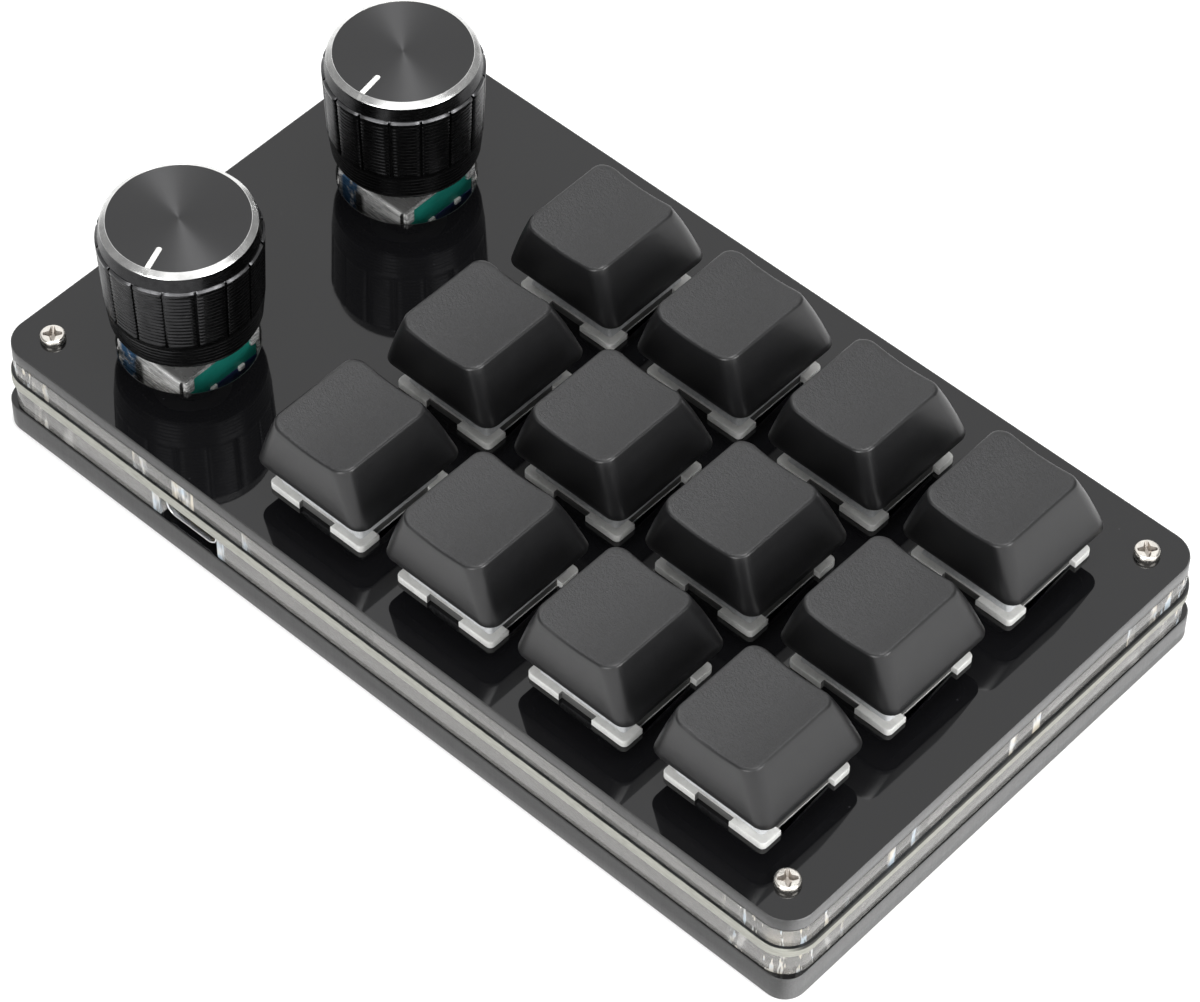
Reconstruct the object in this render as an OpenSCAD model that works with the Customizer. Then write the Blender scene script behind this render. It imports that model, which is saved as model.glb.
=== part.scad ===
// Macro keypad: a 4 x 3 block of keys and two push-and-turn knobs on a stack of acrylic plates.
// Origin: centre of the underside. +X towards the knobs, +Y towards the socket edge, +Z up.
// All sizes are in millimetres.

/* [Plate stack] */
// Length of the acrylic plates along X
plate_length = 130.8; // [128:0.2:140]
// Width of the acrylic plates along Y
plate_width = 75.4; // [73:0.2:84]
// Corner radius of the clear and top plates
plate_corner_r = 4; // [2:0.5:6]
// Thickness of the black top plate, which the switches clip into
top_plate_t = 2; // [1.5:0.1:2.5]
// Thickness of the clear spacer between top plate and circuit board
upper_spacer_t = 3; // [2.6:0.1:3.6]
// Thickness of the circuit board
pcb_t = 1.6; // [1.2:0.2:2]
// Thickness of the clear spacer under the circuit board
lower_spacer_t = 4; // [4:0.2:6]
// Thickness of the black bottom plate
bottom_plate_t = 4; // [3:0.5:6]
// How far the circuit board stands out past the clear plates
pcb_overhang = 0.4; // [0:0.1:0.8]
// How far the bottom plate stands out past the clear plates
bottom_overhang = 0.3; // [0:0.1:0.8]
// Corner radius of the bottom plate
bottom_corner_r = 3; // [2:0.5:6]
// Wall of the clear frame under the circuit board
frame_wall = 7; // [5:0.5:8]
// Radius of the pad of clear plate left around each corner screw
screw_pad_r = 5.5; // [4:0.5:7]

/* [Corner screws] */
// Distance of each corner screw from the two edges of the acrylic plates
screw_inset = 4.9; // [4.5:0.1:6]
// Diameter of the screw thread
screw_d = 2; // [1.6:0.2:2.4]
// Radial gap between a thread and the holes it passes
screw_gap = 0.1; // [0.05:0.05:0.2]
// Diameter of the pan head
screw_head_d = 3.9; // [3.4:0.1:4.4]
// Height of the pan head
screw_head_h = 1.4; // [1:0.1:1.8]
// How far the screw tip stays inside the underside
screw_tip_depth = 0.6; // [0.2:0.1:1]
// Width of the hexagon nut across its flats
nut_width = 4; // [4:0.1:4.4]
// Height of the hexagon nut
nut_h = 1.6; // [1.2:0.1:1.8]
// Gap around the nut in its pocket
nut_gap = 0.1; // [0.05:0.05:0.2]

/* [Key block] */
// Distance between neighbouring keys along X
key_pitch_x = 21.3; // [20:0.1:22]
// Distance between neighbouring keys along Y
key_pitch_y = 22.1; // [20:0.1:22.6]
// Distance of the first column of keys from the left end of the acrylic plates
key_inset_x = 17.65; // [16:0.05:19]
// Distance of the rear row of keys from the back edge of the acrylic plates
key_inset_y = 14.1; // [13:0.1:16]

/* [Switches] */
// Side of the square switch cut-out in the top plate
switch_cutout = 14; // [13.9:0.05:14.1]
// Side of the square cut-out in the clear spacer around each switch
spacer_cutout = 16; // [15:0.2:17]
// Gap between the switch body and its cut-out, on each side
switch_gap = 0.03; // [0.02:0.01:0.1]
// Side of the switch flange that rests on the top plate
flange_side = 15.6; // [15:0.1:16]
// Thickness of the switch flange
flange_t = 1; // [0.8:0.1:1.1]
// Corner radius of the switch flange
flange_corner_r = 0.7; // [0.2:0.1:1.2]
// Length of the shallow notch in the front and back of the flange
flange_notch_y_length = 5.2; // [3:0.2:8]
// Depth of the notch in the front and back of the flange
flange_notch_y_depth = 0.6; // [0.2:0.1:0.7]
// Length of the long notch in the left and right of the flange
flange_notch_x_length = 9.4; // [6:0.2:11]
// Wall of the lower switch housing
housing_wall = 1; // [0.8:0.1:1.2]
// Floor of the lower switch housing
housing_floor = 1.2; // [1:0.1:1.4]
// Height of the upper switch housing above the flange
top_housing_h = 5.6; // [5.4:0.1:6]
// Side of the upper switch housing at its foot
top_housing_foot = 13.6; // [13.2:0.1:14.2]
// Side of the upper switch housing at its crown
top_housing_crown = 9.6; // [9.2:0.1:10]
// Wall of the crown of the upper switch housing
crown_t = 1.2; // [1:0.1:1.4]
// Diameter of the locating post under the switch
post_d = 3.9; // [3.8:0.05:3.9]
// Length of the locating post under the switch
post_length = 3.3; // [2.6:0.1:3.5]
// Radial gap between the locating post and the circuit board
post_gap = 0.05; // [0.05:0.01:0.1]

/* [Sliding stem] */
// How far a key travels
key_travel = 4; // [3:0.1:4]
// Length of the stem's neck along X
neck_length = 6.8; // [6.4:0.1:7]
// Width of the stem's neck and foot along Y
neck_width = 5.2; // [5.1:0.1:5.4]
// Length of the stem's foot along X
foot_length = 8.2; // [7.8:0.1:8.4]
// Height of the stem's foot
foot_h = 3.5; // [3:0.1:3.6]
// Gap between the stem and the upper housing
stem_gap = 0.25; // [0.2:0.05:0.3]
// Length of each arm pair of the cross on top
cross_length = 4; // [3.8:0.05:4.1]
// Thickness of the arms of the cross
cross_t = 1.2; // [1.1:0.05:1.3]
// Height of the cross
cross_h = 3.5; // [3.2:0.1:3.7]
// Diameter of the guide pin inside the spring
guide_pin_d = 2.2; // [1.8:0.1:2.3]
// Length of the guide pin below the stem's spring seat
guide_pin_length = 6.8; // [6:0.1:7]
// Depth of the spring seat up into the stem
spring_seat_depth = 3.4; // [3:0.1:3.6]

/* [Return spring] */
// Diameter of the spring at the middle of its wire
spring_d = 3.7; // [3.6:0.05:3.8]
// Diameter of the spring wire
spring_wire = 0.3; // [0.2:0.05:0.35]
// Number of turns
spring_turns = 7; // [5:1:9]
// Gap left at each end of the spring
spring_end_gap = 0.05; // [0.02:0.01:0.1]
// Diameter of the collar that centres the spring
collar_d = 3.1; // [3.1:0.05:3.2]
// Height of the collar that centres the spring
collar_h = 0.9; // [0.6:0.1:1.2]

/* [Switch contacts] */
// Width of a contact blade
contact_width = 0.9; // [0.6:0.1:1]
// Thickness of a contact blade
contact_t = 0.25; // [0.2:0.05:0.3]
// Distance of the left contact's pin from the switch centre along X
left_pin_x = 3.81; // [3.7:0.01:3.9]
// Distance of the left contact's pin from the switch centre along Y
left_pin_y = 2.54; // [2.5:0.01:2.6]
// Distance of the right contact's pin from the switch centre along X
right_pin_x = 2.54; // [2.4:0.01:2.7]
// Distance of the right contact's pin from the switch centre along Y
right_pin_y = 5.08; // [5:0.01:5.2]
// Length of the pins below the top of the circuit board
contact_pin_length = 3.1; // [2.8:0.1:3.3]
// Radial gap between a pin and its plated hole
pin_gap = 0.25; // [0.15:0.05:0.3]

/* [Keycaps] */
// Side of a keycap at its skirt
cap_base = 18.1; // [17.6:0.1:18.4]
// Corner radius of a keycap at its skirt
cap_base_r = 1.6; // [1:0.1:2]
// Length of a keycap's top along X
cap_top_length = 12.5; // [12:0.1:13]
// Width of a keycap's top along Y
cap_top_width = 14.8; // [14.2:0.1:15.2]
// Corner radius of a keycap's top
cap_top_r = 1.9; // [1.4:0.1:2.4]
// How far a keycap's top is set back towards +Y
cap_set_back = 1.3; // [0.8:0.1:1.5]
// Height of a keycap
cap_h = 8.8; // [8.4:0.1:9.2]
// Gap between a pressed keycap and the switch flange
cap_bottom_gap = 0.3; // [0.3:0.05:0.6]
// Wall of a keycap
cap_wall = 1.4; // [1.2:0.1:1.5]
// Thickness of a keycap under its dish
cap_roof = 1.4; // [1.2:0.1:1.5]
// Depth of the dish along the middle of the top
dish_depth = 0.8; // [0.4:0.1:1]
// Diameter of the socket post inside a keycap
cap_post_d = 5; // [4.9:0.05:5.1]
// Gap between the socket and the cross, on each side
cross_gap = 0.02; // [0.01:0.01:0.04]

/* [Knobs] */
// Distance of the knobs' axes from the right end of the acrylic plates
knob_inset_x = 17.2; // [15:0.1:18]
// Distance of the rear knob's axis from the back edge of the acrylic plates
knob_inset_y = 16.4; // [15:0.1:18]
// Distance between the two knobs
knob_spacing = 39; // [37:0.5:41]
// Diameter of a knob at its shoulder
knob_d = 20.7; // [19.5:0.1:21.5]
// Diameter of a knob near its foot
knob_foot_d = 19.2; // [18.4:0.1:19.4]
// Diameter of the spun face of a knob
knob_face_d = 17.8; // [17:0.1:18.2]
// Outer diameter of the bright bevel
knob_bevel_d = 19.4; // [18.8:0.1:19.4]
// Height of a knob
knob_h = 17; // [16:0.5:20]
// Gap between a knob and the top plate
knob_gap = 4.9; // [4.5:0.1:6]
// Number of grip slots around a knob
grip_slots = 16; // [12:1:24]
// Height of the lower end of the grip slots above a knob's foot
grip_low = 4.5; // [3.5:0.5:6]
// Distance of the ridge above the grip slots from a knob's face
grip_ridge = 2.5; // [2:0.1:4]
// Chamfer on the ridge above the grip slots
grip_chamfer = 0.25; // [0.15:0.05:0.3]
// Width of a grip slot
grip_slot_w = 0.3; // [0.2:0.05:0.6]
// Depth of a grip slot
grip_slot_depth = 0.4; // [0.3:0.05:0.8]
// Width of the pointer groove
pointer_w = 0.8; // [0.5:0.1:1.2]
// Length of the pointer groove from the rim of the face
pointer_length = 3.7; // [3:0.1:5]
// Depth of the pointer groove
pointer_depth = 0.3; // [0.2:0.05:0.5]
// Direction of the rear knob's pointer, in degrees from +X
rear_pointer_angle = 111; // [0:1:359]
// Direction of the front knob's pointer, in degrees from +X
front_pointer_angle = 99; // [0:1:359]
// Diameter of the plastic core inside a knob
core_d = 10; // [9:0.2:11]
// Radial gap between core and knob, and between core and shaft
core_gap = 0.03; // [0.02:0.01:0.05]
// Depth of the hollow under a knob, around the bushing
knob_hollow_depth = 3.5; // [2.5:0.1:4]
// Diameter of the hollow under a knob
knob_hollow_d = 15; // [12:0.5:16]

/* [Rotary encoders] */
// Diameter of the opening in the top plate around an encoder
encoder_opening_d = 18; // [17.6:0.1:18.6]
// Side of the opening in the clear spacer around an encoder
encoder_bay = 17; // [16:0.5:18]
// Length of the encoder body along X
encoder_length = 11.4; // [11:0.1:12]
// Width of the encoder body along Y
encoder_width = 12.4; // [11.8:0.1:12.6]
// Height of the plastic encoder body
encoder_h = 5.7; // [5.2:0.1:6]
// Floor of the plastic encoder body
encoder_floor = 0.6; // [0.4:0.1:0.6]
// Thickness of the metal bracket
bracket_t = 0.8; // [0.6:0.1:0.9]
// Thickness of the bracket's folded sides
bracket_side_t = 0.5; // [0.4:0.1:0.7]
// Width of each lug that goes through the circuit board
lug_width = 2; // [1.6:0.1:2.4]
// Diameter of the threaded bushing
bushing_d = 7; // [7:0.1:7.4]
// Length of the threaded bushing above the bracket
bushing_length = 5; // [4.6:0.1:5.2]
// Diameter of the shaft
shaft_d = 6; // [5.8:0.1:6]
// Radial gap between shaft and bushing
shaft_gap = 0.05; // [0.03:0.01:0.08]
// Diameter of the shaft's keyed lower end
tail_d = 4; // [3.6:0.1:4.2]
// How far the shaft's flat is from its axis
shaft_flat = 1.5; // [1.3:0.1:1.8]
// Length of the shaft inside the knob's core
shaft_grip = 9; // [8:0.5:9.5]
// How far a knob can be pressed down
knob_travel = 0.5; // [0.3:0.1:0.6]
// Diameter of the rotor disc
rotor_d = 9.2; // [8.6:0.1:9.4]
// Running gap around the rotor and under the shaft
rotor_gap = 0.3; // [0.25:0.05:0.35]
// Diameter of an encoder terminal
terminal_d = 0.8; // [0.6:0.1:0.9]
// Distance between neighbouring encoder terminals
terminal_pitch = 2.5; // [2:0.1:3]

/* [Socket] */
// Width of the socket shell
socket_width = 8.9; // [8.6:0.1:9]
// Height of the socket shell
socket_h = 3.2; // [3.1:0.05:3.3]
// Length of the socket shell
socket_length = 7.4; // [6.6:0.1:8]
// Wall of the socket shell
socket_wall = 0.3; // [0.2:0.05:0.35]
// How far the socket's mouth is set back from the edge of the clear plates
socket_set_back = 0.45; // [0:0.05:0.8]
// Width of the notch in the clear frame around the socket
socket_notch = 10; // [9.6:0.1:12]
// Width of the tongue inside the socket
tongue_width = 6.7; // [6.2:0.1:6.8]
// Thickness of the tongue
tongue_t = 0.7; // [0.6:0.05:0.8]
// Length of the plastic block at the back of the socket
tongue_block = 2; // [1.5:0.1:2.5]
// How far the tongue's tip stays behind the socket's mouth
tongue_set_back = 0.6; // [0.4:0.1:1]

/* [Controller chip] */
// Side of the chip
chip_side = 7; // [5:0.5:9]
// Thickness of the chip
chip_t = 1.2; // [0.8:0.1:1.6]
// Number of leads on each side of the chip
chip_leads = 8; // [6:1:9]

/* [Hidden] */
ROWS = ["a", "b", "c"];
COLUMNS = ["1", "2", "3", "4"];
KEY_NAMES = [for (r = ROWS) for (c = COLUMNS) str(r, c)];
KNOB_NAMES = ["1", "2"];
FIXED_NODES = [
    "bottom_plate", "lower_spacer", "pcb", "upper_spacer", "top_plate", "corner_screws", "corner_nuts",
    "switch_bottoms", "switch_tops", "switch_contacts", "usb_shell", "usb_tongue", "microcontroller",
    "encoder_bases", "encoder_brackets", "encoder_terminals"
];
$fn = 64;
// Overlap that keeps cuts clean
cut = 0.5;

// Heights of the faces of the stack
z_frame = bottom_plate_t;
z_pcb = z_frame + lower_spacer_t;
z_board = z_pcb + pcb_t;
z_plate = z_board + upper_spacer_t;
z_top = z_plate + top_plate_t;

// Places of the corner screws
screw_x = plate_length / 2 - screw_inset;
screw_y = plate_width / 2 - screw_inset;
screw_hole_r = screw_d / 2 + screw_gap;
nut_thread_gap = 0.04;

// Switch sizes that follow from the plates
seat_depth = z_top - z_board;
body_side = switch_cutout - 2 * switch_gap;
cavity_side = body_side - 2 * housing_wall;
z_floor = housing_floor - seat_depth;
z_crown = flange_t + top_housing_h;
z_ceiling = z_crown - crown_t;
flange_notch_x_depth = (flange_side - switch_cutout) / 2;
slot_gap = 0.05;
contact_foot = 0.3;
contact_top_gap = 0.1;
contact_jog = 1;
bore_floor = 0.5;
bore_gap = 0.15;
stem_stop_gap = 0.1;

// Stem heights above the top plate
z_foot_top = z_ceiling - stem_stop_gap;
z_foot = z_foot_top - foot_h;
z_neck = z_crown + stem_stop_gap;
z_spring_seat = z_foot + spring_seat_depth;
spring_seat_r = spring_d / 2 + spring_wire / 2 + bore_gap;
z_post = -seat_depth - post_length;

// Keycap heights above the top plate
z_skirt = key_travel + flange_t + cap_bottom_gap;
z_cap = z_skirt + cap_h;
z_cap_ceiling = z_cap - dish_depth - cap_roof;
skirt_cut = 0.05;
cross_end_gap = 0.2;
dish_r = (cap_top_length * cap_top_length / 4 + dish_depth * dish_depth) / (2 * dish_depth);

// Encoder heights above the circuit board
z_bracket = encoder_h + bracket_t;
z_rotor = encoder_floor + rotor_gap;
z_rotor_top = encoder_h - rotor_gap;
z_tail = encoder_floor + rotor_gap + knob_travel;
z_shoulder = z_rotor_top + knob_travel + rotor_gap / 2;
z_knob = z_top + knob_gap;
lug_depth = 1.4;
lug_gap = 0.15;
terminal_end = 1;
cavity_r = rotor_d / 2 + rotor_gap;
tail_flat = tail_d / 4;
core_end_gap = 0.5;
core_roof = 1;

// Knob profile, measured from its foot
knob_round = 0.9;
grip_high = knob_h - grip_ridge;
bevel_low = knob_h - 0.6;
foot_r = knob_foot_d / 2;
shoulder_r = knob_d / 2;
band_r = shoulder_r - grip_chamfer;
waist_r = (foot_r + shoulder_r) / 2;
slot_lean = atan((shoulder_r - waist_r) / (grip_high - grip_chamfer - grip_low));

function key_x(c) = key_inset_x - plate_length / 2 + c * key_pitch_x;
function key_y(r) = plate_width / 2 - key_inset_y - r * key_pitch_y;
function knob_y(k) = plate_width / 2 - knob_inset_y - k * knob_spacing;
function pointer_angle(k) = k == 0 ? rear_pointer_angle : front_pointer_angle;

// Place of the knobs, and of the socket and chip between them and the last column of keys
knob_x = plate_length / 2 - knob_inset_x;
socket_x = (key_x(len(COLUMNS) - 1) + knob_x) / 2;
socket_mouth_y = plate_width / 2 - socket_set_back;
chip_y = key_y(1);

// Rectangle with four round corners, drawn about the origin
module round_rect(length, width, r) {
    square([length - 2 * r, width], center = true);
    square([length, width - 2 * r], center = true);
    for (sx = [-1, 1], sy = [-1, 1])
        translate([sx * (length / 2 - r), sy * (width / 2 - r)]) circle(r);
}

// Box centred on Z, standing on z = 0
module block(length, width, height) {
    translate([-length / 2, -width / 2, 0]) cube([length, width, height]);
}

// Children at each corner screw
module at_screws() {
    for (sx = [-1, 1], sy = [-1, 1]) translate([sx * screw_x, sy * screw_y, 0]) children();
}

// Children at each key
module at_keys() {
    for (r = [0:len(ROWS) - 1], c = [0:len(COLUMNS) - 1]) translate([key_x(c), key_y(r), 0]) children();
}

// Children at each knob
module at_knobs() {
    for (k = [0:len(KNOB_NAMES) - 1]) translate([knob_x, knob_y(k), 0]) children();
}

// Children at both contact pins of a switch
module at_pins() {
    translate([-left_pin_x, left_pin_y, 0]) children();
    translate([right_pin_x, right_pin_y, 0]) children();
}

// Plate with the four corner screw holes
module drilled_plate(length, width, r, height) {
    difference() {
        linear_extrude(height) round_rect(length, width, r);
        at_screws() translate([0, 0, -cut]) cylinder(r = screw_hole_r, h = height + 2 * cut);
    }
}

module bottom_plate() {
    length = plate_length + 2 * bottom_overhang;
    width = plate_width + 2 * bottom_overhang;
    color("#141416")
    difference() {
        drilled_plate(length, width, bottom_corner_r, bottom_plate_t);
        at_screws() translate([0, 0, -cut]) nut_shape(nut_width + 2 * nut_gap, nut_h + nut_gap + cut);
    }
}

// Hexagon of a given width across its flats
module nut_shape(width, height) {
    cylinder(r = width / sqrt(3), h = height, $fn = 6);
}

module corner_nuts() {
    color("#c9c9c4")
    at_screws() translate([0, 0, nut_gap]) difference() {
        nut_shape(nut_width, nut_h);
        translate([0, 0, -cut]) cylinder(r = screw_d / 2 + nut_thread_gap, h = nut_h + 2 * cut);
    }
}

module corner_screws() {
    recess = 0.7;
    recess_w = 0.5;
    color("#d2d0ca")
    at_screws() difference() {
        union() {
            translate([0, 0, screw_tip_depth]) cylinder(d = screw_d, h = z_top - screw_tip_depth + cut / 2);
            translate([0, 0, z_top]) rotate_extrude() pan_head_profile();
        }
        for (a = [45, 135]) translate([0, 0, z_top + screw_head_h - recess]) rotate([0, 0, a])
            block(screw_head_d * 0.62, recess_w, recess + cut);
    }
}

// Half section of a pan head with a rounded crown
module pan_head_profile() {
    r = screw_head_d / 2;
    crown = screw_head_h * 0.55;
    intersection() {
        square([r, screw_head_h]);
        union() {
            square([r, screw_head_h - crown]);
            translate([0, screw_head_h - crown]) square([r - crown, crown]);
            translate([r - crown, screw_head_h - crown]) circle(crown);
        }
    }
}

// Clear frame: four walls, a round pad at each screw and a gap for the socket
module lower_spacer() {
    inner_length = plate_length - 2 * frame_wall;
    inner_width = plate_width - 2 * frame_wall;
    color("#dfe6e6", 0.35)
    translate([0, 0, z_frame]) difference() {
        union() {
            difference() {
                linear_extrude(lower_spacer_t) round_rect(plate_length, plate_width, plate_corner_r);
                translate([0, 0, -cut]) block(inner_length, inner_width, lower_spacer_t + 2 * cut);
            }
            intersection() {
                at_screws() cylinder(r = screw_pad_r, h = lower_spacer_t);
                block(plate_length - frame_wall, plate_width - frame_wall, lower_spacer_t);
            }
        }
        at_screws() translate([0, 0, -cut]) cylinder(r = screw_hole_r, h = lower_spacer_t + 2 * cut);
        translate([socket_x, plate_width / 2, -cut])
            block(socket_notch, 2 * (frame_wall + cut), lower_spacer_t + 2 * cut);
    }
}

module pcb() {
    length = plate_length + 2 * pcb_overhang;
    width = plate_width + 2 * pcb_overhang;
    pin_hole_r = contact_width / 2 + pin_gap;
    color("#15171a")
    translate([0, 0, z_pcb]) difference() {
        drilled_plate(length, width, plate_corner_r + pcb_overhang, pcb_t);
        at_keys() translate([0, 0, -cut]) {
            cylinder(r = post_d / 2 + post_gap, h = pcb_t + 2 * cut);
            at_pins() cylinder(r = pin_hole_r, h = pcb_t + 2 * cut);
        }
        at_knobs() translate([0, 0, -cut]) {
            at_terminals() cylinder(r = terminal_d / 2 + pin_gap, h = pcb_t + 2 * cut);
            for (s = [-1, 1]) translate([0, s * (encoder_width / 2 + bracket_side_t / 2), 0])
                block(lug_width + 2 * lug_gap, bracket_side_t + 2 * lug_gap, pcb_t + 2 * cut);
        }
    }
}

module upper_spacer() {
    color("#dfe6e6", 0.35)
    translate([0, 0, z_board]) difference() {
        drilled_plate(plate_length, plate_width, plate_corner_r, upper_spacer_t);
        at_keys() translate([0, 0, -cut]) block(spacer_cutout, spacer_cutout, upper_spacer_t + 2 * cut);
        at_knobs() translate([0, 0, -cut]) block(encoder_bay, encoder_bay, upper_spacer_t + 2 * cut);
    }
}

module top_plate() {
    color("#101012")
    translate([0, 0, z_plate]) difference() {
        drilled_plate(plate_length, plate_width, plate_corner_r, top_plate_t);
        at_keys() translate([0, 0, -cut]) block(switch_cutout, switch_cutout, top_plate_t + 2 * cut);
        at_knobs() translate([0, 0, -cut]) cylinder(d = encoder_opening_d, h = top_plate_t + 2 * cut);
    }
}

// Lower switch housing, its z = 0 on top of the plate
module switch_bottom() {
    depth_in_post = z_floor - z_post - bore_floor;
    difference() {
        union() {
            linear_extrude(flange_t) round_rect(flange_side, flange_side, flange_corner_r);
            translate([0, 0, -seat_depth]) block(body_side, body_side, seat_depth + flange_t / 2);
            translate([0, 0, z_post]) cylinder(d = post_d, h = post_length + housing_floor / 2);
        }
        difference() {
            translate([0, 0, z_floor]) block(cavity_side, cavity_side, seat_depth + flange_t + cut);
            translate([0, 0, z_floor - cut]) cylinder(d = collar_d, h = collar_h + cut);
        }
        translate([0, 0, z_floor - depth_in_post])
            cylinder(r = guide_pin_d / 2 + bore_gap, h = depth_in_post + collar_h + cut);
        for (s = [-1, 1]) {
            translate([0, s * flange_side / 2, 0])
                block(flange_notch_y_length, 2 * flange_notch_y_depth, flange_t + cut);
            translate([s * flange_side / 2, 0, 0])
                block(2 * flange_notch_x_depth, flange_notch_x_length, flange_t + cut);
        }
        at_pins() translate([0, 0, -seat_depth - cut])
            block(contact_width + 2 * slot_gap, contact_t + 2 * slot_gap, housing_floor + 2 * cut);
    }
}

module switch_bottoms() {
    color("#d9d9d4") translate([0, 0, z_top]) at_keys() switch_bottom();
}

// Four-sided block whose top is smaller than its foot
module tapered_block(foot, crown, height) {
    f = foot / 2;
    c = crown / 2;
    points = [
        [-f, -f, 0], [f, -f, 0], [f, f, 0], [-f, f, 0],
        [-c, -c, height], [c, -c, height], [c, c, height], [-c, c, height]
    ];
    faces = [[0, 1, 2, 3], [7, 6, 5, 4], [4, 5, 1, 0], [5, 6, 2, 1], [6, 7, 3, 2], [7, 4, 0, 3]];
    polyhedron(points, faces);
}

// Upper switch housing: a tapered hood with a hole for the stem
module switch_top() {
    difference() {
        translate([0, 0, flange_t]) tapered_block(top_housing_foot, top_housing_crown, top_housing_h);
        translate([0, 0, flange_t - cut])
            block(foot_length + 4 * stem_gap, neck_width + 8 * stem_gap, top_housing_h - crown_t + cut);
        block(neck_length + 2 * stem_gap, neck_width + 2 * stem_gap, z_crown + cut);
    }
}

module switch_tops() {
    color("#c4c5c4") translate([0, 0, z_top]) at_keys() switch_top();
}

// A contact: a pin through the floor and a blade up the inside, jogged back by the given step
module contact(step) {
    z_pin = -seat_depth - contact_pin_length;
    z_blade = z_floor + contact_foot;
    translate([0, 0, z_pin]) block(contact_width, contact_t, z_blade - z_pin);
    translate([0, step / 2, z_floor]) block(contact_width, contact_t + step, contact_foot);
    translate([0, step, z_floor]) block(contact_width, contact_t, flange_t - contact_top_gap - z_floor);
}

module switch_contacts() {
    color("#c8a45c")
    translate([0, 0, z_top]) at_keys() {
        translate([-left_pin_x, left_pin_y, 0]) contact(contact_jog);
        translate([right_pin_x, right_pin_y, 0]) contact(0);
    }
}

// Sliding stem: cross, neck, foot with a spring seat, and guide pin
module stem() {
    color("#2d3033")
    translate([0, 0, z_top]) {
        difference() {
            union() {
                translate([0, 0, z_foot]) block(foot_length, neck_width, foot_h);
                translate([0, 0, z_foot]) block(neck_length, neck_width, z_neck - z_foot);
                translate([0, 0, z_neck - cut]) {
                    block(cross_length, cross_t, cross_h + cut);
                    block(cross_t, cross_length, cross_h + cut);
                }
            }
            translate([0, 0, z_foot - cut]) cylinder(r = spring_seat_r, h = spring_seat_depth + cut);
        }
        translate([0, 0, z_spring_seat - guide_pin_length])
            cylinder(d = guide_pin_d, h = guide_pin_length + cut);
    }
}

// Point on the helix of the spring wire's section, for turn angle a and corner angle b
function coil_point(a, b, bottom, rise) =
    let (r = spring_d / 2 + spring_wire / 2 * cos(b))
    [r * cos(a), r * sin(a), bottom + rise * a / 360 + spring_wire / 2 * sin(b)];

// Return spring: a helix swept with a square section
module spring() {
    sides = 4;
    per_turn = 10;
    rings = spring_turns * per_turn;
    bottom = z_floor + spring_wire / 2 + spring_end_gap;
    rise = (z_spring_seat - z_floor - spring_wire - 2 * spring_end_gap) / spring_turns;
    points = [
        for (i = [0:rings], j = [0:sides - 1])
            coil_point(360 * i / per_turn, 360 * j / sides, bottom, rise)
    ];
    walls = [
        for (i = [0:rings - 1], j = [0:sides - 1])
            let (a = i * sides + j, b = i * sides + (j + 1) % sides)
            each [[a, b, b + sides], [a, b + sides, a + sides]]
    ];
    ends = [[for (j = [0:sides - 1]) sides - 1 - j], [for (j = [0:sides - 1]) rings * sides + j]];
    color("#b9bcc0")
    translate([0, 0, z_top]) polyhedron(points, concat(walls, ends));
}

// Solid with round corners between two rounded rectangles at different heights
module cap_form(base, base_r, top_length, top_width, top_r, set_back, height) {
    skin = 0.01;
    hull($fn = 32) {
        linear_extrude(skin) round_rect(base, base, base_r);
        translate([0, set_back, height - skin]) linear_extrude(skin) round_rect(top_length, top_width, top_r);
    }
}

// Keycap: sloped shell, scooped along Y, with a cross socket inside
module keycap() {
    inner_h = z_cap_ceiling - z_skirt;
    share = inner_h / cap_h;
    inner_base = cap_base - 2 * cap_wall;
    color("#26272a")
    translate([0, 0, z_top]) {
        difference() {
            translate([0, 0, z_skirt])
                cap_form(cap_base, cap_base_r, cap_top_length, cap_top_width, cap_top_r, cap_set_back, cap_h);
            translate([0, 0, z_skirt - skirt_cut]) cap_form(
                inner_base, cap_base_r / 2,
                inner_base + (cap_top_length - cap_base) * share,
                inner_base + (cap_top_width - cap_base) * share,
                cap_top_r / 2, cap_set_back * share, inner_h + skirt_cut
            );
            translate([0, 0, z_cap - dish_depth + dish_r]) rotate([90, 0, 0])
                cylinder(r = dish_r, h = 2 * cap_base, center = true, $fn = 180);
        }
        difference() {
            translate([0, 0, z_neck + cross_gap])
                cylinder(d = cap_post_d, h = z_cap_ceiling - z_neck + cap_roof / 2);
            translate([0, 0, z_neck - cut]) {
                block(cross_length + 2 * cross_gap, cross_t + 2 * cross_gap, cross_h + cross_end_gap + cut);
                block(cross_t + 2 * cross_gap, cross_length + 2 * cross_gap, cross_h + cross_end_gap + cut);
            }
        }
    }
}

// Half section of a knob's outside
module knob_profile() {
    polygon([
        [0, 0],
        [foot_r - knob_round, 0],
        [foot_r - knob_round * 0.3, knob_round * 0.3],
        [foot_r, knob_round],
        [waist_r, grip_low],
        [shoulder_r, grip_high - grip_chamfer],
        [band_r, grip_high],
        [knob_bevel_d / 2, bevel_low],
        [knob_face_d / 2, knob_h],
        [0, knob_h]
    ]);
}

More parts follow.
